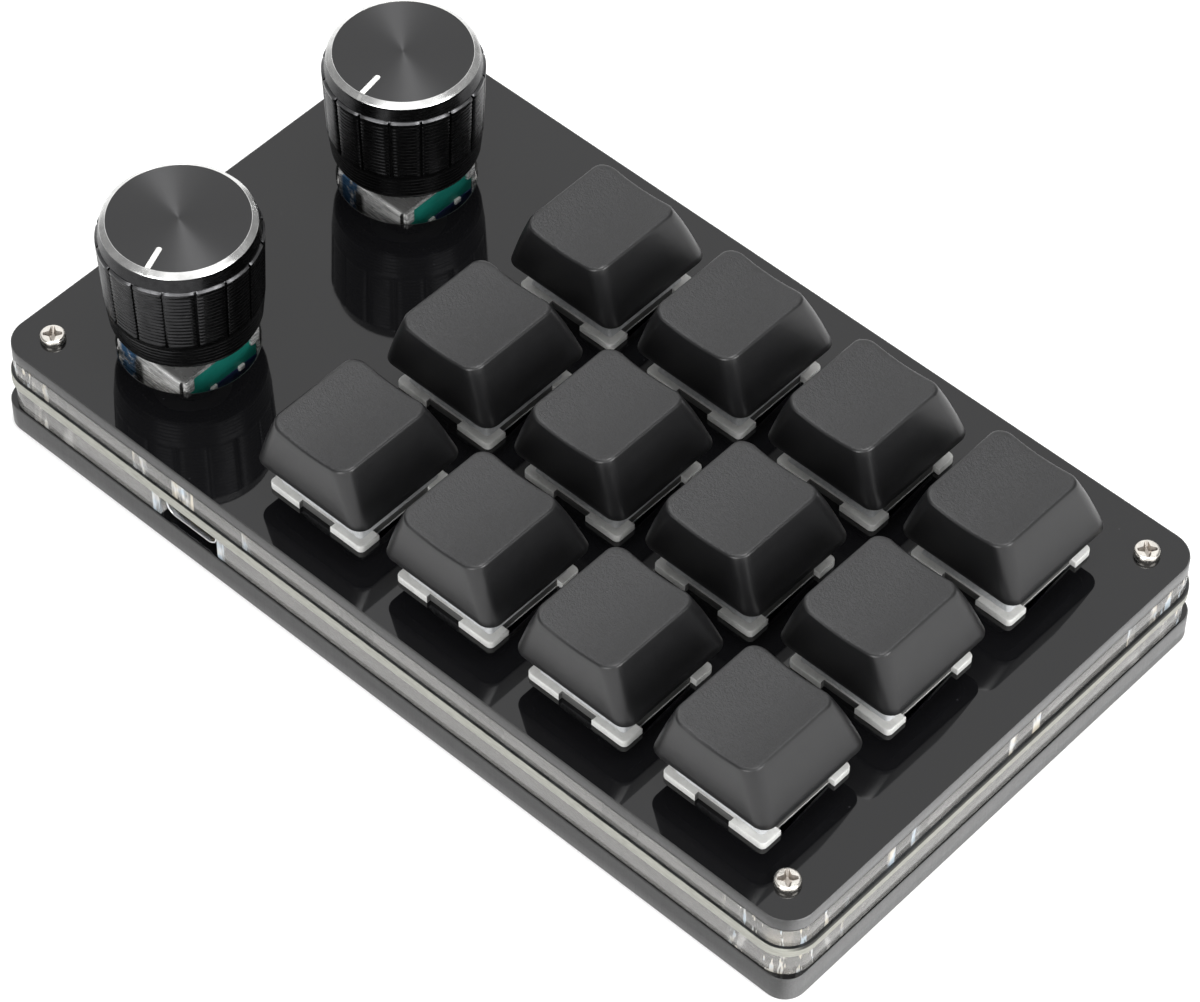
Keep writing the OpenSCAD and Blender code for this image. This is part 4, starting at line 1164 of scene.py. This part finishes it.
class KEYPAD_OT_knobs(bpy.types.Operator):
    """Builds the fluted knobs with their bright bevels and pointers"""

    bl_idname = "keypad.knobs"
    bl_label = "Knobs"

    pointer_angles = (111, 99)
    # Height above the foot and radius of the turned side, from the foot to the bevel
    side_profile = [
        (0, 8.7), (0.27, 9.33), (0.9, 9.6), (4.5, 9.975), (14.25, 10.35), (14.5, 10.1), (16.4, 9.7), (17, 8.9)
    ]
    # Heights of the grip slots' ends, of the ridge at their top, of the foot's first groove and of the face
    grip_low, grip_high, ridge_low, foot_low, face_level = 4.5, 14.5, 14.25, 1.0, 16.97
    # Heights where the grooves and the neck above the ridge end
    grooves_end, neck_end = 13.7, 16.35
    face_radius, bore_radius, slots = 8.9, 5.03, 16

    def execute(self, context):
        settings = context.scene.keypad_knobs
        for knob, angle in zip(KNOBS, self.pointer_angles):
            self.build(knob, angle, settings)
        core = moulded("knob_core_plastic", (0.72, 0.72, 0.68), 0.35, 0.5, 3, 0.01)
        shaft = metal("shaft_turned", (0.62, 0.62, 0.61), 0.2, 0.34, (2, 2, 14), 0.01)
        rotor = moulded("rotor_plastic", (0.66, 0.64, 0.55), 0.35, 0.5, 3, 0.01)
        for knob in KNOBS:
            dress("knob_core_" + knob, core)
            dress("shaft_" + knob, shaft)
            dress("rotor_" + knob, rotor)
        return {"FINISHED"}

    def finishes(self, knob, settings):
        """Anodised side, spun face, bright bevel, pointer paint, ridge edge painted lighter as a painted
        highlight of its chamfer, and pointer paint made darker on the bevel.
        """
        centre = (*knob_centre(knob), 0)
        side = Finish("knob_side_" + knob, settings.dark, Metallic=1.0)
        marks = side.noise(1, 3, 0.6, side.stretched((0.8, 0.8, 14), centre))
        side.roughness_from(marks, 0.2, 0.32)
        side.tones_from(side.noise(0.8, 3), settings.dark, 0.8, 1.25)
        side.relief(marks, 0.004, 0.4)

        face = Finish("knob_face_" + knob, settings.face, Metallic=1.0)
        spun = face.rings(2.2, 0.4, centre)
        face.relief(spun, 0.003, 0.3)
        face.roughness_from(spun, 0.28, 0.36, 0, 1)
        face.tones_from(spun, settings.face, 0.92, 1.08, 0, 1)
        face.set("Anisotropic", 0.9)
        face.set("Anisotropic Rotation", 0.25)
        face.link(face.add("Tangent", direction_type="RADIAL", axis="Z").outputs["Tangent"], "Tangent")

        bevel = Finish("knob_bevel_" + knob, settings.bright, Metallic=1.0)
        smears = bevel.noise(0.35, 3)
        bevel.roughness_from(smears, 0.18, 0.32)
        bevel.tones_from(smears, settings.bright, 0.8, 1.05)
        bevel.relief(bevel.rings(3.5, 0.2, centre), 0.003, 0.4)

        paint = moulded("knob_pointer_" + knob, settings.pointer, 0.45, 0.6, 5, 0.01)
        # Painted highlight: the ridge's chamfer gets a lighter metal in place of the light it mirrors.
        ridge = metal("knob_ridge_painted_highlight_" + knob, tint(settings.dark, 3.6), 0.3, 0.45, (2, 2, 2), 0.01)
        # The pointer's stretch over the bevel is painted darker.
        pointer_darker_on_bevel = moulded("knob_pointer_darker_on_bevel_" + knob, tint(settings.pointer, 0.4), 0.4, 0.6, 3, 0.02)
        return [side, face, bevel, paint, ridge, pointer_darker_on_bevel]

    def radius_at(self, z):
        """Radius of the knob's side at a height above its foot."""
        for (z0, r0), (z1, r1) in zip(self.side_profile, self.side_profile[1:]):
            if z <= z1:
                return r0 + (r1 - r0) * (z - z0) / (z1 - z0)
        return self.side_profile[-1][1]

    def heights(self, pitch):
        """Heights of the rings of points up the side, close together across each groove."""
        low_z, high_z = self.grip_low, self.grip_high
        heights = [0, 0.06, 0.14, 0.27, 0.45, 0.65, 0.9]
        z = self.foot_low
        while z < low_z - 0.3:
            heights += [z, z + pitch * 0.3, z + pitch * 0.5, z + pitch * 0.8]
            z += pitch
        heights += [low_z - 0.2, low_z - 0.01, low_z, low_z + 0.15]
        z = low_z + 0.3
        while z < high_z - 0.75:
            heights += [z + pitch * k / 6 for k in range(6)]
            z += pitch
        return heights + [13.95, 14.1, 14.25, 14.34, 14.43, 14.5, 14.56, 14.62, 15.0, 15.6, 16.1, 16.34, 16.4]

    def build(self, knob, angle, settings):
        """Side with its slots and grooves, bevel, face, bore and pointer."""
        shape = Shape()
        foot = low("knob_" + knob).z
        low_z, high_z = self.grip_low, self.grip_high
        pitch, groove = settings.groove_pitch / MM, settings.groove_depth / MM
        slot_half, slot_deep = settings.slot_width / MM / 2, settings.slot_depth / MM
        heights = self.heights(pitch)

        # Columns of one slot and the panel after it: angle, share of the slot's depth, rounding
        period, grip_radius, corner_width = 360 / self.slots, 10, 0.14
        slot_angle, corner = math.degrees(slot_half / grip_radius), math.degrees(corner_width / grip_radius)
        span = period - 2 * (slot_angle + corner)
        columns = [(-slot_angle, 1, 0), (slot_angle, 1, 0), (slot_angle + 0.02, 0, 0.11)]
        columns += [(slot_angle + corner + span * k / 5, 0, 0) for k in range(6)]
        columns += [(period - slot_angle - 0.02, 0, 0.11)]
        columns = [
            (math.radians(turn + period * (k + 0.5)), cut, ease)
            for k in range(self.slots) for turn, cut, ease in columns
        ]

        def wave(z, start):
            return 0.5 - 0.5 * math.cos(2 * math.pi * (z - start) / pitch)

        def spot(z, column):
            a, cut, ease = column
            radius = self.radius_at(z)
            if low_z <= z <= high_z:
                radius -= cut * slot_deep + ease
            if low_z + 0.3 <= z <= self.grooves_end and not cut:
                radius -= groove * wave(z, low_z + 0.3)
            elif self.foot_low <= z < low_z - 0.25:
                radius -= groove * 0.9 * wave(z, self.foot_low)
            elif high_z < z < self.neck_end:
                radius -= 0.05
            return Vector((radius * math.cos(a), radius * math.sin(a), foot + z))

        def level(radius, z):
            return [Vector((radius * math.cos(a), radius * math.sin(a), foot + z)) for a, _, _ in columns]

        edge = [i for i, z in enumerate(heights) if self.ridge_low <= z <= high_z]
        rings = [[spot(z, column) for column in columns] for z in heights]
        shape.wall(rings[:edge[0] + 1], 0)
        # Finish 4, the ridge's chamfer, carries a painted highlight.
        shape.wall(rings[edge[0]:edge[-1] + 1], 4)
        shape.wall(rings[edge[-1]:], 0)
        bevel = [rings[-1]] + [level(9.7 - 0.72 * t, 16.42 + 0.54 * t) for t in (0.04, 0.5, 0.96)]
        shape.wall(bevel + [level(8.95, 16.985), level(self.face_radius, self.face_level)], 2)
        shape.wall([level(r, self.face_level) for r in (self.face_radius, 8.6, 7.2, 5.4, 3.6, 1.8, 0.5)], 1)
        shape.fan(level(0.5, self.face_level), (0, 0, foot + self.face_level - 0.03), 1)
        hollow, depth = 3.5, 14.0
        steps = [(7.7, 0), (7.5, 0.2), (7.5, hollow), (self.bore_radius, hollow), (self.bore_radius, depth)]
        shape.wall([rings[0]] + [level(r, z) for r, z in steps], 0)
        shape.fan(level(self.bore_radius, depth), (0, 0, foot + depth), 0)
        self.add_pointer(shape, foot, angle, settings)
        shape.shift(0, knob_centre(knob))
        finishes = self.finishes(knob, settings)
        shape.piece("knob_turned_" + knob, "dial_" + knob, "anodised_aluminium", finishes, "knob_" + knob)

    def add_pointer(self, shape, foot, angle, settings):
        """Painted line with a round inner end, out across the bevel where it is painted darker."""
        start = len(shape.points)
        thick, half = 0.15, settings.pointer_width / MM / 2
        inner = self.face_radius - settings.pointer_length / MM
        turns = [math.radians(a) for a in range(10, 91, 16)]
        stations = [(inner + half * (1 - math.cos(a)), half * math.sin(a), 17.0) for a in turns]
        stations += [(8.88, half, 17.0), (9.25, half * 0.7, 16.77), (9.66, half * 0.7, 16.47)]
        corners = ((1, 0), (-1, 0), (-1, thick), (1, thick))
        rings = [[Vector((x, side * y, foot + z - drop)) for side, drop in corners] for x, y, z in stations]
        shape.wall(rings[:-2], 3)
        shape.wall(rings[-3:], 5)
        shape.lid(rings[0], (), 3)
        shape.lid(rings[-1], (), 5)
        shape.turn(start, angle)


class KEYPAD_OT_encoders(bpy.types.Operator):
    """Builds the rotary encoders' bodies, folded brackets and terminals"""

    bl_idname = "keypad.encoders"
    bl_label = "Encoders"

    def execute(self, context):
        settings = context.scene.keypad_knobs
        body = moulded("encoder_body", settings.body, 0.3, 0.45, 3, 0.02)
        wafer = moulded("encoder_wafer", (0.012, 0.03, 0.11), 0.3, 0.45, 3, 0.02)
        tab = moulded("encoder_tab", (0.75, 0.75, 0.72), 0.35, 0.5, 3, 0.01)
        steel = self.bracket_steel((0.85, 0.85, 0.84))
        tin = metal("encoder_terminal", (0.76, 0.74, 0.68), 0.2, 0.35)
        build_on_case(
            [knob_centre(knob) for knob in KNOBS],
            ("encoder_bodies", "green_plastic", self.add_body, [body, wafer, tab], "encoder_bases"),
            ("encoder_folded_brackets", "plated_steel", self.add_bracket, [steel], "encoder_brackets"),
            ("encoder_pins", "contact_brass", self.add_terminals, [tin], "encoder_terminals"),
        )
        return {"FINISHED"}

    def bracket_steel(self, colour):
        """Rolled strip with streaks, a blue patch at the far end and a dark seam at the near one. Painted
        shade darkens the lower side beside its middle, and the lid under the knob.
        """
        steel = metal("encoder_bracket", colour, 0.22, 0.32, (0.4, 1, 3), 0.0004)
        steel.set("Metallic", 0.55)
        streaks = steel.noise(1, 3, 0.5, steel.stretched((0.35, 1, 2.4)))
        blotches = steel.between(steel.noise(0.9, 3), 0, 1, 0.36, 0.46)

        def beside(along, reach, soft):
            """1 near a place along the bracket's outer side, from its middle."""
            centres = [knob_centre(knob) for knob in KNOBS]
            return steel.near([(x + along, y + BRACKET_HALF_Y) for x, y in centres], reach, soft)

        # A blue patch painted near the far end of the outer side.
        patch = steel.combined(beside(ENCODER_HALF_X - 2, 1.7, 0.5), blotches)
        # Painted shade: the lower part of the side, beside its middle, is painted nearly black.
        low_part = steel.height(BOARD_TOP + 5.6, BOARD_TOP + 4.6)
        shade = steel.combined(beside(ENCODER_HALF_X - 3.6, 1.1, 0.7), low_part)
        # Painted shade: the lid and upper fold are painted darker, as if shaded by the knob.
        lid = steel.height(BRACKET_TOP - 0.35, BRACKET_TOP - 0.05)
        seam = beside(-ENCODER_HALF_X + 0.15, 0.32, 0.1)
        tone = steel.ramp(streaks, (0.4, tint(colour, 0.55)), (0.5, colour), (0.65, tint(colour, 1.08)))
        for share, other in (
            (patch, (0.055, 0.14, 0.27)), (shade, tint(colour, 0.06)), (lid, tint(colour, 0.3)),
            (seam, tint(colour, 0.03)),
        ):
            tone = steel.mixed(share, tone, other)
        steel.link(tone, "Base Color")
        return steel

    def add_body(self, shape):
        """Two-layer body with a round chamber, pin holes and two small tabs on each end."""
        bottom, top = BOARD_TOP, high("encoder_bases").z
        layer, floor, pin_floor = bottom + 1.7, bottom + 0.6, bottom + 0.5
        outline = soft_rectangle(ENCODER_HALF_X * 2, ENCODER_HALF_Y * 2, 0.35, 3)
        chamber = ring(4.9, 48)
        holes = [ring(0.45, 12, pin) for pin in ENCODER_PINS]
        shape.flat(inset(outline, 0.1), bottom, holes, 1)
        shape.stack(outline, [(0.1, bottom), (0, bottom + 0.1), (0, layer - 0.06), (0.1, layer)], 1)
        shape.stack(outline, [(0.1, layer), (0, layer + 0.06), (0, top - 0.15), (0.12, top)], 0)
        shape.flat(inset(outline, 0.12), top, [inset(chamber, -0.1)], 0)
        shape.stack(chamber, [(-0.1, top), (0, top - 0.1), (0, floor)], 0)
        shape.flat(chamber, floor, (), 1)
        for hole in holes:
            shape.peg(hole, [(0, bottom), (0, pin_floor)], 1)
        for side in SIDES:
            inner, outer = side * (ENCODER_HALF_X - 0.05), side * (ENCODER_HALF_X + 0.35)
            for y in (-3.2, 1.6):
                shape.block((inner, y - 0.5, layer - 0.5), (outer, y + 0.5, layer + 0.25), 0.08, 2)

    def add_bracket(self, shape):
        """Lid and sides folded from one sheet, with corner tabs, lugs and a threaded bushing."""
        under, over, crown = high("encoder_bases").z, BRACKET_TOP, high("encoder_brackets").z
        foot = BOARD_TOP + 0.6
        half_x, out, inner, fold = ENCODER_HALF_X, BRACKET_HALF_Y, ENCODER_HALF_Y, 0.7
        right = [(out, foot)] + arc((out - fold, over - fold), fold, 0, 90, 6)
        profile = right + [(-y, z) for y, z in reversed(right)]
        profile += [(-inner, foot), (-inner, under), (inner, under), (inner, foot)]
        shape.strip(profile, -half_x, half_x, 0, (len(right) - 1, len(profile) - 3))

        def sheet(half_y):
            return [(-half_x, -half_y), (half_x, -half_y), (half_x, half_y), (-half_x, half_y)]

        bush_radius, pitch, groove, turn_rows = 3.5, 0.75, 0.22, 4
        bore, bush, collar, lip = (ring(radius, 40) for radius in (3.05, bush_radius, 3.3, 3.12))
        shape.flat(sheet(out - fold), over, [bush])
        shape.flat(sheet(inner), under, [bore])
        threads = []
        for r in range(int((crown - over - 0.5) / pitch * turn_rows) + 1):
            z = over + 0.15 + pitch * r / turn_rows
            depth = groove * abs(2 * (r % turn_rows) / turn_rows - 1)
            threads.append(lifted(ring(bush_radius - depth, 40), z))
        shape.wall([lifted(bush, over)] + threads + [lifted(collar, crown)])
        shape.flat(collar, crown, [lip])
        shape.wall([lifted(lip, crown), lifted(bore, crown - 0.1), lifted(bore, under)])
        for side in SIDES:
            shape.block((-1, side * inner, BOARD_TOP - 1.4), (1, side * out, foot + 0.2), 0.08)
            near, far = side * (half_x - 0.2), side * (half_x + 0.4)
            for y in (-out + 1.1, out - 1.1):
                shape.block((near, y - 0.7, under - 1.5), (far, y + 0.7, over - 0.1), 0.12)

    def add_terminals(self, shape):
        """Pins through the board with tapered tips, soldered under it."""
        bottom, top = span("encoder_terminals")
        for pin in ENCODER_PINS:
            steps = [(0.2, bottom), (0.4, bottom + 0.25), (0.4, top)]
            shape.rod([lifted(ring(r, 16, pin), z) for r, z in steps])
            add_solder(shape, pin, 0.95, 0.42, 0)


class KEYPAD_OT_socket(bpy.types.Operator):
    """Builds the socket with its tongue, and the controller chip"""

    bl_idname = "keypad.socket"
    bl_label = "Socket and chip"

    def execute(self, context):
        shell = metal("socket_shell", (0.74, 0.75, 0.76), 0.14, 0.28, (1, 8, 1), 0.004)
        tongue = moulded("socket_tongue", (0.02, 0.02, 0.022), 0.35, 0.5, 4, 0.01)
        gold = metal("socket_contacts", (0.85, 0.65, 0.32), 0.16, 0.3)
        body = moulded("chip_body", (0.02, 0.02, 0.022), 0.45, 0.6, 5, 0.02)
        lead = metal("chip_leads", (0.72, 0.72, 0.7), 0.2, 0.34)
        build_on_case(
            [(0, 0)],
            ("socket_shell_steel", "plated_steel", self.add_shell, [shell], "usb_shell"),
            ("socket_tongue_strips", "black_plastic", self.add_tongue, [tongue, gold], "usb_tongue"),
            ("chip_with_leads", "chip_plastic", self.add_chip, [body, lead], "microcontroller"),
        )
        return {"FINISHED"}

    def across(self, steps):
        """Rings of the socket's outline, through pairs of an inset and a place along its length."""
        a, b = low("usb_shell"), high("usb_shell")
        centre = ((a.x + b.x) / 2, (a.z + b.z) / 2)
        rings = []
        for shrink, y in steps:
            length, height = b.x - a.x - 2 * shrink, b.z - a.z - 2 * shrink
            outline = soft_rectangle(length, height, height / 2 - 0.01, 10, centre)
            rings.append([Vector((x, y, z)) for x, z in outline])
        return rings

    def add_shell(self, shape):
        """Drawn steel shell with a rounded lip and two pressed tabs."""
        back, mouth, z = low("usb_shell").y, high("usb_shell").y, low("usb_shell").z
        shape.wall(self.across([
            (0.3, back), (0.04, back), (0, back + 0.05), (0, mouth - 0.12), (0.04, mouth - 0.03),
            (0.12, mouth), (0.2, mouth), (0.27, mouth - 0.04), (0.3, mouth - 0.14), (0.3, back),
        ]))
        for side in SIDES:
            x = SOCKET_X + side * 2.4
            shape.block((x - 0.5, back + 2.2, z + 0.2), (x + 0.5, back + 4.2, z + 0.36), 0.04)

    def add_tongue(self, shape):
        """Rear block and tongue, with a row of contact strips on both of its faces."""
        a, b = low("usb_tongue"), high("usb_tongue")
        x, z = SOCKET_X, (a.z + b.z) / 2
        rear, count, pitch, half = a.y + 2, 12, 0.5, 0.13
        shape.rod(self.across([(0.5, a.y), (0.38, a.y + 0.12), (0.38, rear - 0.12), (0.5, rear)]))
        shape.block((x - 3.35, rear - 0.3, z - 0.35), (x + 3.35, b.y, z + 0.35), 0.12)
        for k in range(count):
            cx = x + (k - (count - 1) / 2) * pitch
            for face in SIDES:
                start, end = (cx - half, rear + 0.3, z + face * 0.3), (cx + half, b.y - 0.35, z + face * 0.38)
                shape.block(start, end, 0.02, 1)

    def add_chip(self, shape):
        """Moulded body with a dimple, hung under the board on bent leads."""
        bottom, top = span("microcontroller")
        half, reach, count, thick = 3.5, 4.5, 8, 0.15
        waist, shoulder = (bottom + top) / 2, top - 0.08
        outline, dimple = soft_rectangle(half * 2, half * 2, 0.15, 2), ring(0.4, 20, (-2.6, 2.6))
        shape.stack(outline, [(0.22, bottom), (0, waist), (0.12, shoulder)], 0, False)
        shape.flat(inset(outline, 0.22), bottom, [dimple])
        shape.peg(dimple, [(0, bottom), (0.05, bottom + 0.08)])
        shape.flat(inset(outline, 0.12), shoulder)
        profile = soft_corners([
            (half - 0.1, waist), (half + 0.3, waist), (half + 0.55, top - thick), (reach, top - thick),
            (reach, top), (half + 0.45, top), (half + 0.2, waist + thick), (half - 0.1, waist + thick),
        ], 0.05, 2)
        for turn in range(4):
            for k in range(1, count + 1):
                x = k * half * 2 / (count + 1) - half
                start = len(shape.points)
                shape.strip(profile, x - 0.15, x + 0.15, 1)
                shape.turn(start, 90 * turn)
        shape.shift(0, middle("microcontroller"))


# Stage

class KEYPAD_OT_stage(bpy.types.Operator):
    """Makes the floor, the surroundings, the lamps and the camera"""

    bl_idname = "keypad.stage"
    bl_label = "Stage"

    # Name, place in metres, side in metres and power in watts
    lamps = [
        ("overhead_light", (0, -0.08, 0.9), 0.3, 4),
        ("back_light", (-0.15, 0.85, 0.4), 0.5, 5),
        ("end_light", (-0.85, -0.05, 0.45), 0.5, 6.5),
    ]
    # Level direction in which glossy surfaces mirror the dim part beside the band
    dim_direction = (0.584, 0.809, 0)
    camera_place = (-0.248817, 0.276196, 0.450611)
    camera_turn = (0.693950, -0.010102, -2.399662)

    def execute(self, context):
        settings = context.scene.keypad_stage
        scene = context.scene
        scene.view_settings.view_transform = "Standard"
        self.floor(settings)
        self.surroundings(scene, settings)
        for name, place, side, power in self.lamps:
            light = bpy.data.lights.new(name, "AREA")
            light.size = side
            light.energy = power
            lamp = bpy.data.objects.new(name, light)
            scene.collection.objects.link(lamp)
            lamp.location = place
            lamp.rotation_euler = (-Vector(place)).to_track_quat("-Z", "Y").to_euler()
        camera = bpy.data.objects.new("camera", bpy.data.cameras.new("camera"))
        scene.collection.objects.link(camera)
        camera.data.lens = settings.focal_length
        camera.data.sensor_width = 36
        camera.data.clip_start = 0.01
        camera.location = self.camera_place
        camera.rotation_euler = Euler(self.camera_turn, "XYZ")
        scene.camera = camera
        return {"FINISHED"}

    def floor(self, settings):
        """Pale floor, white to the camera where no shadow falls. The underside is seen and lit through it."""
        mesh = bpy.data.meshes.new("floor")
        reach, drop = 3, -0.05 * MM
        corners = [(x * reach, y * reach, drop) for x, y in ((-1, -1), (1, -1), (1, 1), (-1, 1))]
        mesh.from_pydata(corners, [], [[0, 1, 2, 3]])
        floor = bpy.data.objects.new("floor", mesh)
        bpy.context.scene.collection.objects.link(floor)
        paper = Finish("floor_paper", settings.floor, Roughness=0.9)
        paper.tones_from(paper.noise(0.01, 2), settings.floor, 0.99, 1.01)
        sight = paper.add("LightPath").outputs
        strength = paper.combined(sight["Is Camera Ray"], 0.3)
        glow = paper.add("Emission", {"Color": (1, 1, 1, 1), "Strength": strength})
        both = paper.add("AddShader", {0: paper.shader.outputs[0], 1: glow.outputs[0]})
        under_feet = paper.combined(sight["Ray Length"], 2 * MM, "LESS_THAN")
        from_below = paper.add("NewGeometry").outputs["Backfacing"]
        opening = paper.combined(from_below, under_feet, "MAXIMUM")
        clear = paper.add("BsdfTransparent")
        surface = paper.add("MixShader", {"Fac": opening, 1: both.outputs[0], 2: clear.outputs[0]})
        paper.tree.links.new(surface.outputs[0], paper.tree.nodes["Material Output"].inputs["Surface"])
        floor.data.materials.append(paper.material)

    def surroundings(self, scene, settings):
        """Even pale light from all round, white where the camera looks and banded where metal does."""
        world = bpy.data.worlds.new("studio")
        world.use_nodes = True
        scene.world = world
        tree = world.node_tree
        sky = tree.nodes["Background"]
        sky.inputs["Color"].default_value = (1, 1, 1, 1)
        direction = add_node(tree, "TexCoord").outputs["Generated"]
        across = add_node(tree, "VectorMath", {0: direction, 1: self.dim_direction}, operation="DOT_PRODUCT")
        distance = add_node(tree, "Math", {0: across.outputs["Value"]}, operation="ABSOLUTE").outputs[0]
        strength = add_range(
            tree, distance, 0.3, 0.7, settings.band, settings.gloom, interpolation_type="SMOOTHSTEP"
        )
        sight = add_node(tree, "LightPath").outputs
        levels = (("Is Diffuse Ray", settings.sky), ("Is Transmission Ray", 1.0), ("Is Camera Ray", 1.0))
        for ray, level in levels:
            mix = add_node(tree, "Mix", {"Factor": sight[ray], "A": strength, "B": level})
            strength = mix.outputs["Result"]
        tree.links.new(strength, sky.inputs["Strength"])


class KEYPAD_PT_panel(bpy.types.Panel):
    """Lists the keypad's settings and builders"""

    bl_idname = "KEYPAD_PT_panel"
    bl_label = "Macro keypad"
    bl_space_type = "VIEW_3D"
    bl_region_type = "UI"
    bl_category = "Keypad"

    def draw(self, context):
        for title, group, operators in SECTIONS:
            box = self.layout.box()
            box.label(text=title)
            settings = getattr(context.scene, group)
            for name in settings.bl_rna.properties.keys():
                if name not in ("rna_type", "name"):
                    box.prop(settings, name)
            for operator in operators:
                box.operator(operator.bl_idname)


SECTIONS = [
    ("Plates", "keypad_plates", [
        KEYPAD_OT_bottom_plate, KEYPAD_OT_clear_plates, KEYPAD_OT_board, KEYPAD_OT_top_plate,
        KEYPAD_OT_fasteners,
    ]),
    ("Keys", "keypad_keys", [KEYPAD_OT_keycaps, KEYPAD_OT_switches]),
    ("Knobs", "keypad_knobs", [KEYPAD_OT_knobs, KEYPAD_OT_encoders, KEYPAD_OT_socket]),
    ("Stage", "keypad_stage", [KEYPAD_OT_stage]),
]
GROUPS = {
    "keypad_plates": KEYPAD_PG_plates,
    "keypad_keys": KEYPAD_PG_keys,
    "keypad_knobs": KEYPAD_PG_knobs,
    "keypad_stage": KEYPAD_PG_stage,
}
OPERATORS = [operator for _, _, operators in SECTIONS for operator in operators]
CLASSES = [*GROUPS.values(), *OPERATORS, KEYPAD_PT_panel]


def register():
    """Adds the settings, builders and panel."""
    for one in CLASSES:
        bpy.utils.register_class(one)
    for name, group in GROUPS.items():
        setattr(bpy.types.Scene, name, bpy.props.PointerProperty(type=group))


def unregister():
    """Takes the settings, builders and panel away again."""
    for name in GROUPS:
        delattr(bpy.types.Scene, name)
    for one in reversed(CLASSES):
        bpy.utils.unregister_class(one)


def main():
    """Builds the keypad and its stage."""
    register()
    bpy.ops.keypad.stage()
    bpy.ops.keypad.bottom_plate()
    bpy.ops.keypad.clear_plates()
    bpy.ops.keypad.board()
    bpy.ops.keypad.top_plate()
    bpy.ops.keypad.fasteners()
    bpy.ops.keypad.keycaps()
    bpy.ops.keypad.switches()
    bpy.ops.keypad.encoders()
    bpy.ops.keypad.knobs()
    bpy.ops.keypad.socket()


if __name__ == "__main__":
    main()
